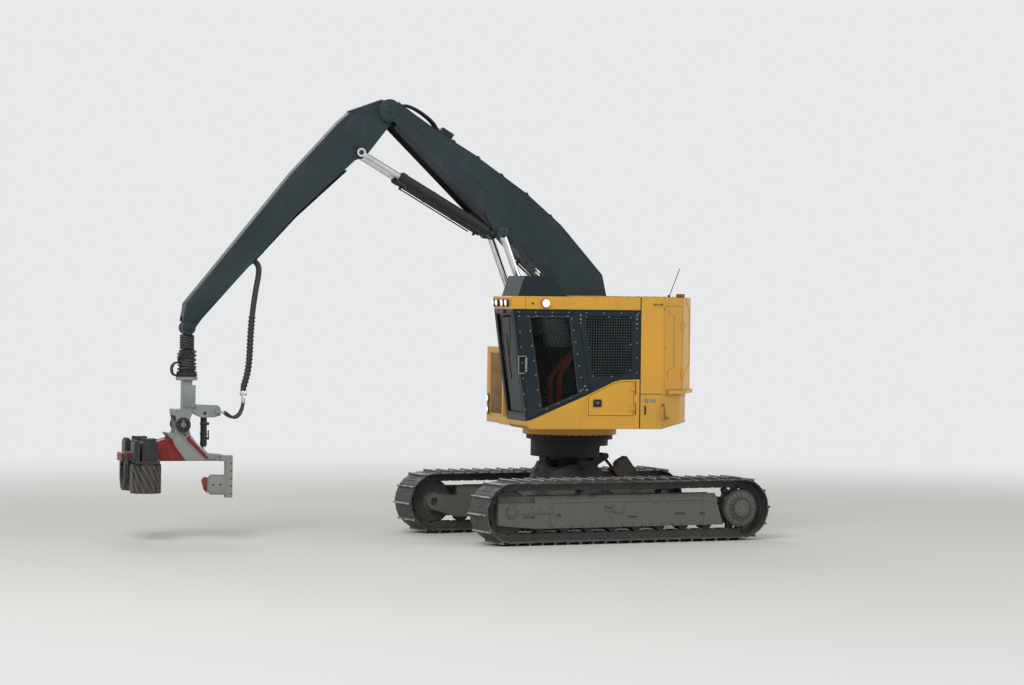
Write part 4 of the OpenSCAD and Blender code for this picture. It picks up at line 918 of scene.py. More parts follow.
def makeWindscreen():
    lean = Vector((1, 0, -0.1349)).normalized()
    sides, levels = (0.575, 1.395), (1.985, 3.51)
    edges = [[(y, z) for z in levels] for y in sides] + [[(y, z) for y in sides] for z in levels]
    seal = [strip([(cabFront(z) + 0.0005, y, z) for y, z in line], 0.028, 0.005, lean, 0.002) for line in edges]
    dress("screenSeal", seal, "house", "hose_rubber")

    def at(y, z, off):
        return Vector((cabFront(z), y, z)) + lean * off

    wiper = [rod(at(0.985, 3.46, -0.02), at(0.985, 3.46, 0.045), 0.016, 16, 0.002),
            pipe([at(0.985, 3.46, 0.038), at(0.93, 3.25, 0.04), at(0.80, 2.86, 0.022)], 0.007, 10),
            strip([at(0.80, 3.18, 0.004), at(0.80, 2.50, 0.004)], 0.012, 0.014, lean, 0.002),
            box((cabFront(3.53) - 0.02, 0.90, 3.512), (cabFront(3.53) + 0.028, 1.07, 3.565), 0.008)]
    dress("wiper", wiper, "house", "black_paint")


def makeWindowGuard():
    side = cab["side"] - 0.03
    low, high = 2.545, 3.49
    rim = strip([(x, side, z) for x, z in guardWay + guardWay[:1]], 0.036, 0.012, left, 0.002)
    dress("guardRim", rim, "house", "painted_dark")

    def span(level, upright):
        # where the outline is cut by a level (z) or upright (x) line
        hits = []
        for (x0, z0), (x1, z1) in zip(guardWay, guardWay[1:] + guardWay[:1]):
            a, b, c, d = (x0, x1, z0, z1) if upright else (z0, z1, x0, x1)
            if (a - level) * (b - level) < 0:
                hits.append(c + (d - c) * (level - a) / (b - a))
        return min(hits) + 0.005, max(hits) - 0.005

    wires, step, back, width = [], 0.040, -0.52, 0.77
    count, rows = int(width / step), int((high - low) / step)
    for i in range(1, count):
        x = back + i * width / count
        wires.append([(x, side + 0.002, z) for z in span(x, True)])
    for i in range(1, rows):
        z = low + i * (high - low) / rows
        wires.append([(x, side + 0.007, z) for x in span(z, False)])
    mesh = dress("guardMesh", [rod(a, b, 0.0055, 6) for a, b in wires], "house", "painted_dark", "guardWire")
    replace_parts(mesh, "window_guard")
    spots = ((-0.50, 3.47), (-0.15, 3.475), (0.22, 3.475), (-0.505, 3.05), (-0.505, 2.65), (-0.2, 2.557),
            (0.1, 2.56), (0.175, 3.0))
    bolts = scatter(hexBolt(0.009, 0.008), [placed((x, side + 0.012, z), left) for x, z in spots])
    dress("guardBolts", bolts, "house", "pale_paint")


workLamp = {"x": 1.4123, "z": 3.675, "across": (0.58, 0.78, 1.07, 1.29), "tilt": math.radians(96.8)}


def makeLamps():
    # housings, rims and brackets of the work lamps
    lean = Vector((math.sin(workLamp["tilt"]), 0, math.cos(workLamp["tilt"])))
    starts = [Vector((workLamp["x"], y, workLamp["z"])) for y in workLamp["across"]]
    rims = []
    for start in starts:
        rims += [rod(start, start + lean * 0.036, 0.052, 28, 0.004),
                box((1.405, start.y - 0.03, 3.612), (1.432, start.y + 0.03, 3.632), 0.003)]
    rims.append(rod((0.88, 1.5, 3.67), (0.88, 1.532, 3.67), 0.068, 32, 0.004))
    rims += [rod((0.929, -1.4, z), (0.951, -1.4, z), 0.053, 28, 0.004) for z in (1.95, 2.125)]
    dress("lampRims", rims, "house", "black_paint")
    plates = [plate([(-1.47, 1.87), (-1.33, 1.87), (-1.33, 2.205), (-1.47, 2.205)], 0.9295, 0.934, 0.002, "X")]
    dress("lampPlate", plates, "house", "painted_dark")
    lens = scatter(rod((0, 0, -0.001), (0, 0, 0.006), 0.034, 20, tip=0.026),
            [placed(start + lean * 0.05, lean) for start in starts])
    dress("lensGrid", lens, "house", "lamp_lens")


corner = {"front": (-1.01, 1.5), "rear": (-1.46, 1.21), "length": 0.53535}


def onCorner(s, off, z, side=1):
    # place on a rear corner's face, s along it from the front edge
    (x0, y0), (x1, y1) = corner["front"], corner["rear"]
    ux, uy = (x1 - x0) / corner["length"], (y1 - y0) / corner["length"]
    return Vector((x0 + ux * s + uy * off, side * (y0 + uy * s - ux * off), z))


def makeHoodDetails():
    side = cab["side"]
    gaps = [box((-0.757, side - 0.002, 1.975), (-0.733, side + 0.012, 2.11)),
            rod((-0.745, side + 0.01, 2.07), (-0.745, side + 0.018, 2.07), 0.013, 16, 0.002)]
    for face, low in ((1, 1.765), (-1, 2.965)):
        gaps.append(strip([(-0.6605, face * side, z) for z in (low, 3.77)], 0.012, 0.0015, (0, face, 0), 0))
        gaps.append(strip([(x, face * side, 2.2905) for x in (-0.668, -1.005)], 0.010, 0.0015, (0, face, 0), 0))
    dress("hoodGaps", gaps, "house", "black_paint")
    dress("hoodFittings", barHandle((-0.878, side, 3.67), (-0.998, side, 3.67), left, 0.045, 0.008), "house",
            "painted_yellow", "rustAndShade")
    dress("hoodPlug", rod(onCorner(0.055, -0.001, 3.603), onCorner(0.055, 0.006, 3.603), 0.022, 20, 0.003), "house",
            "pale_paint")
    disc = [rod((-0.767, side - 0.001, 2.19), (-0.767, side + 0.005, 2.19), 0.035, 28, 0.002),
            plate([(-0.83, 2.165), (-0.92, 2.165), (-0.92, 2.215), (-0.83, 2.215)], side - 0.001, side + 0.003,
            0.002)]
    dress("sideDisc", disc, "house", "pale_paint")
    # the grab handle's brown is painted shade over its yellow paint
    grab = [(-1.03, 1.478, 2.12), (-1.04, 1.545, 2.115), (-1.045, 1.545, 1.94), (-1.06, 1.54, 1.925),
            (-1.15, 1.455, 1.92), (-1.165, 1.365, 1.92)]
    dress("weightGrab", pipe(curvePoints(grab, 3), 0.014, 10), "house", "painted_yellow", "rustAndShade")
    latch = [box((-0.037, side + 0.004, 2.093), (0.097, side + 0.0165, 2.207)),
            rod((0.03, side + 0.016, 2.15), (0.03, side + 0.020, 2.15), 0.030, 24, 0.002)]
    dress("serviceLatch", latch, "service_door", "black_paint")
    dress("serviceKey", box((0.015, side + 0.0195, 2.135), (0.045, side + 0.0235, 2.165), 0.003), "service_door",
            "pale_paint")
    strips = [box((-0.598, side - 0.001, low), (-0.574, side + 0.007, high), 0.003)
            for low, high in ((2.28, 2.49), (1.975, 2.155))]
    dress("hingeStrips", strips, "house", "painted_yellow", "rustAndShade")


def onSlope(v, off, z, side=1):
    # place on the face behind a rear corner, v along X from its front edge
    out = Vector((-0.8920, side * 0.4521, 0))
    return Vector((-1.46 - v, side * (1.21 - 1.973 * v), z)) + out * off


def makeHoodDoors():
    for side, body in ((1, "hood_door_left"), (-1, "hood_door_right")):
        out = onCorner(0, 1, 0, side) - onCorner(0, 0, 0, side)
        path = [(0.146, 3.575), (0.276, 3.50), (0.294, 2.722), (0.130, 2.654), (0.131, 2.541)]
        pts = [onCorner(s, 0, z, side) for s, z in path]
        dress(body + "_fold", strip(pts, 0.020, 0.007, out, 0.003), body, "painted_yellow")
        # thin brown strip beside each fold rib: painted shadow line of the rib
        shade = [p + Vector((0, 0, -0.004)) + (onCorner(1, 0, 0, side) - onCorner(0, 0, 0, side)) * 0.016
                for p in pts]
        dress(body + "_foldShadow", strip(shade, 0.010, 0.002, out, 0), body, "painted_yellow", "rustAndShade")
        latch = [rod(onCorner(0.09, -0.001, 3.0, side), onCorner(0.09, 0.008, 3.0, side), 0.02, 20, 0.002),
                rod(onCorner(0.09, 0.008, 3.0, side), onCorner(0.09, 0.012, 3.0, side), 0.010, 6)]
        dress(body + "_latch", latch, body, "painted_yellow")
        back = onSlope(0, 1, 0, side) - onSlope(0, 0, 0, side)
        rear = [onSlope(v, 0, z, side) for v, z in ((0.10, 3.765), (0.30, 3.562), (0.32, 2.724), (0.076, 2.633),
                (0.04, 2.542))]
        dress("rearFold" + str(side), strip(rear, 0.020, 0.007, back, 0.003), "house", "painted_yellow")
        # thin brown strip below the rear fold rib: painted shadow line of the rib
        low = [p + Vector((0.007, 0, -0.006)) for p in rear]
        dress("rearFoldShadow" + str(side), strip(low, 0.012, 0.002, back, 0), "house", "painted_yellow", "rustAndShade")


def makeGrille(name, middle, width, height, count, out, depth=0.012):
    # framed grille: rim bars, sloping slats and a dark back on a flat upright face
    out, middle = Vector(out).normalized(), Vector(middle)
    across = Vector(up).cross(out).normalized()
    corners = [middle + across * a * width / 2 + Vector((0, 0, b * height / 2))
            for a, b in ((-1, -1), (1, -1), (1, 1), (-1, 1))]
    slats = [strip(corners + corners[:1], 0.03, depth + 0.004, out, 0.003)]
    for i in range(count):
        row = middle + Vector((0, 0, -height / 2 + (i + 0.5) * height / count))
        half = across * (width / 2 - 0.01)
        slats.append(strip([row - half, row + half], height / count * 0.42, depth, out + Vector((0, 0, -0.35)),
                0.002))
    reach = Vector((0, 0, height / 2 * 0.66))
    behind = strip([middle - reach, middle + reach], width - 0.01, 0.002, out, 0)
    dress(name, slats, "house", "painted_yellow")
    dress(name + "Back", behind, "house", "black_paint")


def makeRear():
    makeGrille("rearGrille", (-1.8305, 0, 3.02), 0.80, 1.16, 22, (-1, 0, 0))
    makeGrille("sideGrilleRight", (-1.645, -0.845, 2.86), 0.56, 0.72, 14, (-0.73, -0.37, 0))
    back = -1.7655
    weight = [boltRow((back, y, 1.91), (back, y, 2.18), 2, (-1, 0, 0), 0.03, 0.02) for y in (-0.30, 0.30)]
    weight += [rod((back, 0, 1.95), (-1.80, 0, 1.95), 0.075, 28, 0.01), rod((-1.80, 0, 1.95), (-1.812, 0, 1.95),
            0.04, 20, 0.004)]
    dress("weightFittings", weight, "house", "black_paint")
    seam = [strip([(back, -0.45, z), (back, 0.45, z)], 0.02, 0.004, (-1, 0, 0), 0.002) for z in (2.24, 1.845)]
    dress("weightSeams", seam, "house", "weight_iron")
    dress("exhaustCap", rod((-1.65, 0.5, 3.781), (-1.65, 0.5, 3.8375), 0.0675, 36, 0.010), "house",
            "painted_yellow", "rustAndShade")
    lids = [box((rear, near, 3.779), (front, far, 3.787))
            for rear, front, near, far in ((-1.72, -0.95, -0.42, 0.42), (-1.35, -0.72, -1.12, -0.50),
            (-1.35, -0.72, 0.60, 1.12))]
    dress("hoodLids", lids, "house", "painted_yellow")
    latches = [boltRow((-1.69, y, 3.787), (-0.98, y, 3.787), 7, up, 0.008, 0.006) for y in (-0.39, 0.39)]
    latches += [boltRow((-1.31, y, 3.787), (-0.76, y, 3.787), 5, up, 0.008, 0.006)
            for y in (-1.09, -0.53, 0.63, 1.09)]
    dress("lidBolts", latches, "house", "black_paint")
    slots = [box((-1.60 + i * 0.052, -0.32, 3.7865), (-1.574 + i * 0.052, 0.32, 3.789), 0.001) for i in range(12)]
    dress("lidSlots", slots, "house", "black_paint")


def makeTank():
    side = -1.5
    panel = [plate([(-0.55, 1.98), (0.82, 1.98), (0.82, 2.85), (-0.55, 2.85)], side + 0.0075, side + 0.0125, 0.002)]
    panel += [plate([(x, z), (x + 0.6, z), (x + 0.6, z + 0.36), (x, z + 0.36)], side + 0.003, side + 0.009)
            for x in (-0.50, 0.17) for z in (2.02, 2.45)]
    dress("tankPanels", panel, "house", "painted_yellow")
    fittings = [boltRow((-0.56, side, z), (0.83, side, z), 14, right, 0.007, 0.006) for z in (1.935, 2.90)]
    fittings += [barHandle((x, side + 0.008, 2.55), (x, side + 0.008, 2.69), right) for x in (0.08, 0.12)]
    dress("tankFittings", fittings, "house", "black_paint")
    front = [plate([(-1.30, 1.90), (-0.66, 1.90), (-0.66, 2.86), (-1.30, 2.86)], 0.9175, 0.9215, 0.003, "X")]
    for z in (2.05, 2.36, 2.67):
        front.append(plate([(-1.26, z - 0.12), (-0.70, z - 0.12), (-0.70, z + 0.12), (-1.26, z + 0.12)], 0.921,
                0.926, 0.003, "X"))
    front.append(boltRow((0.9215, -1.28, 1.94), (0.9215, -1.28, 2.82), 6, (1, 0, 0), 0.009, 0.007))
    dress("tankFront", front, "house", "painted_yellow", "rustAndShade")
    steps = []
    for x in (-0.45, 0.0, 0.45):
        steps.append(box((x - 0.12, -1.38, 2.959), (x + 0.12, -0.70, 2.966), 0.002))
        seed = rod((0, 0, 0), (0, 0, 0.005), 0.012, 8, tip=0.008)
        steps.append(scatter(seed, [placed((x + dx, -1.34 + k * 0.085, 2.966)) for dx in (-0.08, 0, 0.08)
                for k in range(8)]))
    dress("tankTreads", steps, "house", "black_paint")
    caps = [rod((0.72, -0.85, 2.958), (0.72, -0.85, 2.998), 0.075, 32, 0.008),
            rod((0.72, -0.85, 2.998), (0.72, -0.85, 3.006), 0.05, 24, 0.004),
            box((0.655, -0.862, 3.005), (0.785, -0.838, 3.018), 0.005)]
    dress("tankCap", caps, "house", "black_paint")


def makeCabInside():
    # console, levers, screen and trim behind the panes
    pod = []
    for y in (0.74, 1.26):
        pod += [box((0.42, y - 0.06, 2.331), (0.78, y + 0.06, 2.37), 0.014),
                rod((0.73, y, 2.36), (0.75, y, 2.50), 0.022, 16, 0.004, tip=0.016),
                rod((0.748, y, 2.49), (0.756, y, 2.57), 0.028, 18, 0.010, tip=0.022)]
    dress("armPods", pod, "house", "black_paint")
    dash = [box((1.02, 0.60, 2.02), (1.10, 0.72, 2.42), 0.012), box((1.03, 0.60, 2.42), (1.07, 0.86, 2.60), 0.008)]
    dress("console", dash, "house", "black_paint")
    screen = plate([(0.615, 2.435), (0.845, 2.435), (0.845, 2.585), (0.615, 2.585)], 1.025, 1.031, 0.001, "X")
    dress("screenFace", screen, "house", "glass")
    pedals = [box((0.93, y, 1.99), (1.03, y + 0.09, 2.01), 0.006) for y in (0.86, 1.0)]
    pedals += [rod((0.98, y + 0.045, 1.93), (0.98, y + 0.045, 1.995), 0.012, 12) for y in (0.86, 1.0)]
    dress("pedals", pedals, "house", "black_paint")
    sheets = [plate([(0.62, 3.20), (0.86, 3.20), (0.88, 3.40), (0.64, 3.40)], 0.538, 0.544, 0.002),
            plate([(0.60, 3.42), (0.84, 3.42), (0.84, 3.47), (0.60, 3.47)], 0.52, 0.53, 0.002)]
    dress("rackSheets", sheets, "house", "pale_paint")
    routes = ([(0.350, 1.17, 2.86), (0.45, 1.22, 2.72), (0.575, 1.30, 2.54), (0.59, 1.322, 2.36),
            (0.59, 1.324, 2.12)], [(0.350, 1.12, 2.88), (0.50, 1.18, 2.75), (0.705, 1.29, 2.54),
            (0.73, 1.322, 2.36), (0.73, 1.324, 2.12)])
    belt = [strip(curvePoints(route, 4), 0.075, 0.004, (0.35, 0.90, 0.25), 0.001) for route in routes]
    dress("seatBelts", belt, "house", "red_paint", "beltWeb")


makeCabOutside()
makeWindscreen()
makeWindowGuard()
makeLamps()
makeHoodDetails()
makeHoodDoors()
makeRear()
makeTank()
makeCabInside()
print("upper structure detailed")

boomUpper = [(2.905, 6.750), (2.670, 6.580), (2.240, 6.295), (1.670, 5.960), (0.820, 5.375), (0.255, 4.895),
        (-0.430, 4.125), (-0.500, 3.815)]
boomHalf, stickHalf, headMiddle = 0.25, 0.15, 6.12
joint = {"foot": (-0.230, 3.090), "elbow": (3.040, 6.610), "hoistBase": (0.240, 2.055), "hoistEye": (1.250, 4.755),
        "stickBase": (1.370, 4.740), "stickEye": (3.480, 5.955), "stickTip": (6.120, 3.230), "tilt": (6.21, 1.76)}


def pinCap(place, y, side, radius, keeper=False):
    # end of a pin, with its keeper plate where it has one
    x, z = place
    parts = [rod((x, y, z), (x, y + side * 0.012, z), radius, 32, 0.004),
            rod((x, y + side * 0.012, z), (x, y + side * 0.018, z), radius * 0.28, 6)]
    if keeper:
        near, far = sorted((y, y + side * 0.014))
        parts.append(box((x - radius * 0.28, near, z + radius * 0.55), (x + radius * 0.28, far, z + radius * 1.75),
                0.003))
        parts.append(scatter(hexBolt(0.011, 0.010),
                [placed((x, y + side * 0.014, z + radius * 1.45), (0, side, 0))]))
    return joinPieces("pin", parts)


def pinPair(place, y, radius, keeper=False):
    return [pinCap(joint[place], side * y, side, radius, keeper) for side in (1, -1)]


def sideBeads(lines, y, sink=0):
    # weld lines on the left and right faces, each a row of X and Z places with its radius
    return [pipe([(x, side * (y - sink), z) for x, z in line], radius) for side in (1, -1)
            for line, radius in lines]


def sideStrips(lines, y):
    return [strip([(x, side * y, z) for x, z in line], width, thick, (0, side, 0), edge) for side in (1, -1)
            for line, width, thick, edge in lines]


def outwards(a, b):
    # the upward normal of a line in X and Z
    out = Vector((a[1] - b[1], 0, b[0] - a[0])).normalized()
    return out if out.z > 0 else -out


def makeBoomDetails():
    beads = sideBeads([([(x, z - 0.022) for x, z in boomUpper], 0.006)], boomHalf, 0.002)
    beads += sideBeads([([(2.619, 6.362), (2.30, 5.98), (1.564, 5.115)], 0.0055),
            ([(1.22, 4.77), (0.90, 4.50), (0.25, 4.03)], 0.0055)], boomHalf)
    dress("boomWelds", beads, "boom", "boom_grey")
    dress("boomFlange", sideStrips([([(2.93, 6.36), (1.40, 4.865)], 0.075, 0.014, 0.004)], boomHalf), "boom",
            "black_paint")
    near = boomHalf - 0.001
    plates = sidePlates([(1.93, 5.81), (1.86, 5.845), (1.52, 5.55), (1.41, 5.40), (1.44, 5.35)], near,
            boomHalf + 0.005, 0.002)
    plates += sidePlates(roundOutline(joint["elbow"], 0.15, 28), near, boomHalf + 0.012, 0.003)
    plates += sidePlates(roundOutline(joint["foot"], 0.16, 28), near, boomHalf + 0.0045, 0.002)
    dress("boomPlates", plates, "boom", "boom_grey")
    dress("boomPins", pinPair("elbow", 0.264, 0.052, True) + pinPair("stickBase", 0.280, 0.038), "boom",
            "boom_grey")
    dress("housePins", pinPair("foot", 0.313, 0.052) + pinPair("hoistBase", 0.465, 0.043), "house", "boom_grey")
    clamps = []
    for part, i in ((0.45, 2), (0.1, 3), (0.55, 3), (0.05, 4), (0.75, 4)):
        a, b = boomUpper[i], boomUpper[i + 1]
        out = outwards(a, b)
        middle = Vector((a[0] + (b[0] - a[0]) * part, 0, a[1] + (b[1] - a[1]) * part))
        clamps.append(strip([middle + Vector((0, y, 0)) + out * 0.032 for y in (-0.165, 0.075)], 0.07, 0.012, out,
                0.003))
        clamps.append(scatter(hexBolt(0.011, 0.011), [placed(middle + Vector((0, y, 0)) + out * 0.044, out)
                for y in (-0.158, -0.045, 0.068)]))
    dress("lineClamps", clamps, "boom", "black_paint")
    manifold = box((-0.11, -0.20, -0.035), (0.11, 0.12, 0.075), 0.01)
    a, b = boomUpper[2], boomUpper[3]
    tilt = math.atan2(b[1] - a[1], b[0] - a[0])
    manifold.data.transform(Matrix.Translation((2.10, 0, 6.265)) @ Matrix.Rotation(-tilt + math.pi, 4, "Y"))
    dress("lineManifold", manifold, "boom", "black_paint")
    hoops = []
    for y, lift in ((-0.14, 0.085), (-0.08, 0.10), (-0.02, 0.09), (0.05, 0.075)):
        arch = ((2.205, 6.33, 0), (2.30, 6.43, 0.5), (2.48, 6.56, 0.6), (2.66, 6.655, 0.5), (2.78, 6.70, 0.1),
                (2.79, 6.64, 0))
        hoops.append(pipe(curvePoints([(x, y, z + lift * share) for x, z, share in arch], 5), 0.016, 12))
    dress("elbowLines", hoops, "boom", "hose_rubber")
    lines, cuffs = [], []
    for low in (0.0, 0.055):
        for side in (1, -1):
            way = [(1.42 + low, side * 0.262, 4.915 + low * 0.3), (1.28 + low * 0.5, side * 0.268, 4.80 + low)]
            way += [(x, side * y, z + low) for x, y, z in ((1.06, 0.312, 4.60), (0.86, 0.285, 4.34),
                    (0.62, 0.262, 4.10), (0.40, 0.262, 3.90), (0.22, 0.24, 3.80))]
            lines.append(pipe(curvePoints(way, 5), 0.0155, 10))
            cuffs.append(rod((0.68, side * 0.2655, 4.155 + low), (0.60, side * 0.262, 4.082 + low), 0.019, 14,
                    0.002))
    dress("boomSideLines", lines, "boom", "hose_rubber")
    dress("sideLineCuffs", cuffs, "boom", "chrome")
    straps = sideStrips([([(0.47, 3.87), (0.37, 3.99)], 0.05, 0.034, 0.006),
            ([(0.84, 4.27), (0.76, 4.36)], 0.04, 0.03, 0.006)], boomHalf)
    dress("sideLineClamps", straps, "boom", "black_paint")


def ramDetails(name, base, eye, ys, radius, length, over):
    # glands, bolts, ports, rings and feed pipes of a pair of cylinders, the pipes on the side that over names
    base, eye = Vector((base[0], 0, base[1])), Vector((eye[0], 0, eye[1]))
    along = (eye - base).normalized()
    lift = outwards((base.x, base.z), (eye.x, eye.z)) * over
    head = length - radius * 1.9
    glands, pipes = [], []

    def at(far, off=0):
        return base + along * far + Vector((0, y, 0)) + lift * off

    for y in ys:
        glands.append(rod(at(length - 0.002), at(length + 0.018), radius * 0.93, 36, 0.004))
        glands.append(boltRing(at(length + 0.018), radius * 0.72, 10, along, 0.009, 0.009))
        glands += [rod(at(s, radius - 0.006), at(s, radius + 0.035), 0.022, 8, 0.003) for s in (0.16, head)]
        glands += [rod(at(s - 0.016), at(s + 0.016), radius + 0.006, 36, 0.003)
                for s in (0.34 * length, 0.66 * length)]
        pipes.append(pipe([at(0.26, radius + 0.024), at(head - 0.05, radius + 0.024), at(head, radius + 0.03)],
                0.011, 10))
    body = name + ("_barrel" if len(ys) == 1 else "_barrels")
    dress(name + "Glands", glands, body, "black_paint")
    dress(name + "Pipes", pipes, body, "black_paint")


def rodEyes(name, y, radius, width):
    # painted eyes at the far ends of a pair of rods
    x, z = joint[name + "Eye"]
    eyes = [rod((x, side * y - width / 2, z), (x, side * y + width / 2, z), radius, 40, 0.004) for side in (1, -1)]
    dress(name + "RodEyes", eyes, name + "_rods", "boom_grey")


def makeStickDetails():
    beads = sideBeads([([(3.16, 6.752), (3.59, 6.588), (3.80, 6.397), (4.53, 5.597), (6.13, 3.62)], 0.006),
            ([(3.42, 5.915), (3.565, 5.862), (4.455, 5.032), (5.42, 3.967), (5.92, 3.40)], 0.006)], stickHalf,
            0.001)
    beads += sideBeads([([(4.545, 5.585), (4.44, 5.04)], 0.005)], stickHalf)
    dress("stickWelds", beads, "stick", "boom_grey")
    plates = []
    for outline in ([(6.17, 3.60), (5.90, 3.93), (5.62, 3.72), (5.90, 3.42), (6.03, 3.30), (6.19, 3.35)],
            [(3.62, 6.52), (3.42, 6.55), (3.36, 6.10), (3.50, 5.97), (3.80, 6.20)]):
        plates += sidePlates(outline, stickHalf - 0.001, stickHalf + 0.006, 0.002)
    dress("stickPlates", plates, "stick", "boom_grey")
    # pale strips on the stick's upper faces: painted sheen, with dust
    edge = [strip([(3.19, 0, 6.76), (3.59, 0, 6.614)], 0.26, 0.005, (0.34, 0, 0.94), 0.002)]
    spots = [(3.86, 6.3665), (4.545, 5.616), (5.98, 3.839)]
    edge += [strip([(a[0], 0, a[1]), (b[0], 0, b[1])], 0.25, 0.005, -outwards(a, b), 0.002)
            for a, b in zip(spots, spots[1:])]
    dress("stickTopPlate", edge, "stick", "boom_grey", "dustAndSheenTop")
    dress("stickEyePins", pinPair("stickEye", 0.2455, 0.038), "stick_rods", "boom_grey")
    dress("linkPins", pinPair("stickTip", 0.159, 0.038), "head_link", "boom_grey")
    lines = [pipe([(x, y, z) for x, z in ((5.252, 4.133), (5.112, 4.25), (4.472, 4.943), (3.672, 5.678))], 0.014,
            10) for y in (-0.06, 0.0, 0.06)]
    dress("stickLowerLines", lines, "stick", "black_paint")
    clamps = [strip([(x, -0.09, z), (x, 0.09, z)], 0.06, 0.028, (-0.69, 0, -0.73), 0.004)
            for x, z in ((5.0, 4.397), (4.62, 4.816), (4.15, 5.274), (3.78, 5.613))]
    dress("stickLineClamps", clamps, "stick", "black_paint")


def turnsRound(radius, angles, heights, thick):
    # pipe that runs round the head's upright axis
    return pipe([(headMiddle + radius * math.cos(t), radius * math.sin(t), z) for t, z in zip(angles, heights)],
            thick, 10)


def makeRotatorDetails():
    rings = []
    for i in range(6):
        angles = [2 * math.pi * k / 20 + 0.4 * i for k in range(18)]
        rings.append(turnsRound(0.134, angles, [2.60 + 0.05 * i + 0.018 * math.sin(t + i) for t in angles], 0.0165))
    dress("rotatorHoses", rings, "head_yoke", "hose_rubber")
    wrap = [turnsRound(0.098, [0.35 * k + 2.1 * strand for k in range(34)], [3.115 - 0.0064 * k for k in range(34)],
            0.017) for strand in range(3)]
    dress("linkHoses", wrap, "head_link", "hose_rubber")
    loops = [pipe(curvePoints([(x, y, z) for x, z in ((6.24, 2.70), (6.31, 2.69), (6.35, 2.62), (6.335, 2.53),
            (6.27, 2.50), (6.24, 2.50))], 4), 0.017, 10) for y in (-0.06, -0.01, 0.04)]
    dress("rotatorPipes", loops, "head_yoke", "black_paint")
    rim = [boltRing((headMiddle, 0, 2.5605), 0.138, 16, up, 0.009, 0.010),
            rod((headMiddle, 0, 2.50), (headMiddle, 0, 2.53), 0.161, 48, 0.004)]
    dress("rotatorRim", rim, "head_yoke", "black_paint")
    plates = [box((6.045, -0.075, 2.05), (6.0505, 0.075, 2.38), 0.002), box((6.0, 0.108, 2.02), (6.18, 0.116, 2.36),
            0.003), box((6.06, -0.116, 2.02), (6.18, -0.108, 2.36), 0.003), boltRing((headMiddle, 0, 2.44), 0.148,
            12, down, 0.009, 0.009)]
    dress("yokePlates", plates, "head_yoke", "pale_paint")
    dress("tiltPins", pinPair("tilt", 0.2555, 0.042, True), "head", "pale_paint", "wornSteel")
    x, z = joint["tilt"]
    cover = sidePlates(roundOutline((x, z), 0.115, 30), 0.2505, 0.262)
    cover += [boltRing((x, side * 0.262, z), 0.09, 8, (0, side, 0), 0.009, 0.008) for side in (1, -1)]
    dress("tiltCovers", cover, "head_yoke", "black_paint")


def makeHeadPlates():
    for name, slot, inner, outer, edge, outlines in (("slopePlates", "pale_paint", 0.1995, 0.212, 0.004,
            [[(5.70, 1.235), (5.86, 1.235), (6.20, 1.56), (6.22, 1.62), (6.08, 1.60), (5.96, 1.45), (5.80, 1.32)]]),
            ("headStripes", "red_paint", 0.205, 0.219, 0.003,
            [[(5.80, 1.25), (5.855, 1.25), (6.16, 1.545), (6.145, 1.585), (6.105, 1.575)],
            [(6.16, 1.215), (6.19, 1.225), (6.36, 1.44), (6.40, 1.555), (6.37, 1.56), (6.33, 1.45)]])):
        dress(name, [part for outline in outlines for part in sidePlates(outline, inner, outer, edge)], "head",
                slot)
    marks = [boltRow((x, side * y, z), (far, side * y, high), count, (0, side, 0), size, tall)
            for x, far, y, z, high, count, size, tall in ((6.17, 6.115, 0.212, 1.60, 1.575, 2, 0.012, 0.01),
            (6.46, 6.60, 0.2, 1.40, 1.40, 3, 0.012, 0.01), (6.30, 7.05, 0.2, 1.25, 1.25, 8, 0.011, 0.009))
            for side in (1, -1)]
    marks.append(boltRow((5.62, 0.34, 0.94), (5.76, 0.34, 0.86), 2, left, 0.016, 0.008))
    marks.append(boltRow((5.485, 0.34, 0.72), (5.485, 0.34, 1.18), 5, left, 0.009, 0.008))
    dress("headBolts", marks, "head", "black_paint")
    cover = plate([(5.565, 0.995), (5.565, 0.72), (5.78, 0.72), (5.835, 0.77), (5.835, 0.94), (5.785, 0.995)],
            0.3395, 0.352, 0.008)
    dress("sawCover", cover, "head", "pale_paint")
    plugs = [rod((x, 0.351, 0.86), (x, 0.357, 0.86), 0.017, 18, 0.002) for x in (5.65, 5.76)]
    dress("sawCoverPlugs", plugs, "head", "black_paint")
    red = plate([(5.846, 0.97), (5.846, 0.73), (5.90, 0.78), (5.94, 0.93), (5.90, 0.975)], 0.302, 0.338)
    dress("sawSideStrip", red, "head", "red_paint")
    housing = sidePlates([(6.42, 1.25), (6.44, 1.53), (6.58, 1.475), (6.62, 1.34), (6.60, 1.25)], 0.1995, 0.208)
    dress("housingPlates", housing, "head", "red_paint")


feedRoller = {"x": 6.8, "y": 0.38, "radius": 0.2305, "top": 1.155, "ribs": 16, "turn": 0.115, "drop": 0.0495}


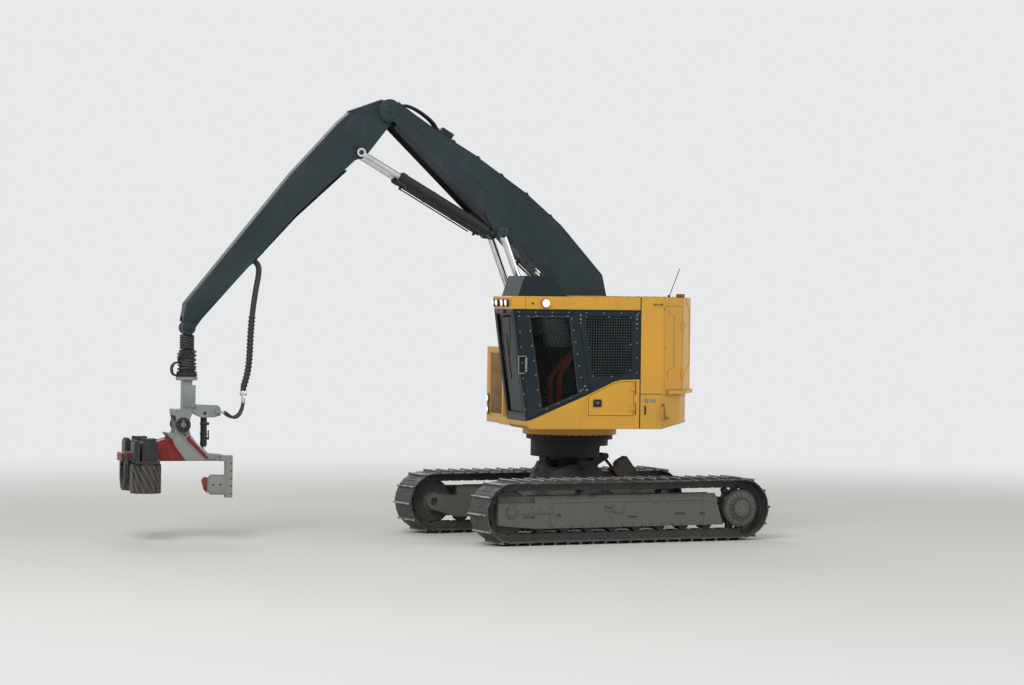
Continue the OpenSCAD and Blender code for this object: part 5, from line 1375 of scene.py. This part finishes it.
def makeFeedParts():
    x = feedRoller["x"]
    for side, tag in ((1, "left"), (-1, "right")):
        y = side * feedRoller["y"]
        ribs = []
        for i in range(feedRoller["ribs"]):
            angles = [2 * math.pi * i / feedRoller["ribs"] + feedRoller["turn"] * k for k in range(9)]
            ribs.append(pipe([(x + feedRoller["radius"] * math.cos(t), y + feedRoller["radius"] * math.sin(t),
                    feedRoller["top"] - feedRoller["drop"] * k) for k, t in enumerate(angles)], 0.0065, 6))
        dress("feedRibs_" + tag, ribs, "feed_roller_" + tag, "track_steel", "wornSteel")
        bands = [rod((x, y, z), (x, y, z + 0.012), 0.2315, 48, 0.003) for z in (0.7405, 1.165)]
        bands.append(rod((x, y, 0.7405), (x, y, 0.7385), 0.12, 32))
        dress("feedBands_" + tag, bands, "feed_roller_" + tag, "black_paint")
        arm = [box((near, side * across - 0.012, top - 0.03), (far, side * across + 0.012, top + 0.006))
                for near, far, top in ((6.66, 6.87, 1.558), (6.93, 7.0, 1.533)) for across in (0.33, 0.48)]
        arm += sidePlates([(6.67, 1.25), (6.86, 1.25), (6.86, 1.48), (6.82, 1.535), (6.71, 1.535), (6.67, 1.47)],
                0.559, 0.568, sides=(side,))
        arm.append(boltRing((6.765, side * 0.568, 1.39), 0.07, 8, (0, side, 0), 0.010, 0.009))
        arm.append(boltRow((6.66, side * 0.585, 1.22), (6.94, side * 0.585, 1.22), 6, up, 0.010, 0.009))
        dress("feedCovers_" + tag, arm, "feed_arm_" + tag, "painted_dark")



makeBoomDetails()
ramDetails("hoist", joint["hoistBase"], joint["hoistEye"], (-0.365, 0.365), 0.092, 1.75, 1)
ramDetails("stick", joint["stickBase"], joint["stickEye"], (-0.196, 0.196), 0.082, 1.70, -1)
ramDetails("tilt", (5.85, 1.93), (5.85, 1.31), (0.0,), 0.05, 0.48, 1)
rodEyes("hoist", 0.365, 0.0785, 0.151)
rodEyes("stick", 0.196, 0.0690, 0.083)
makeStickDetails()
makeRotatorDetails()
makeHeadPlates()
makeFeedParts()
print("boom, stick and head detailed")
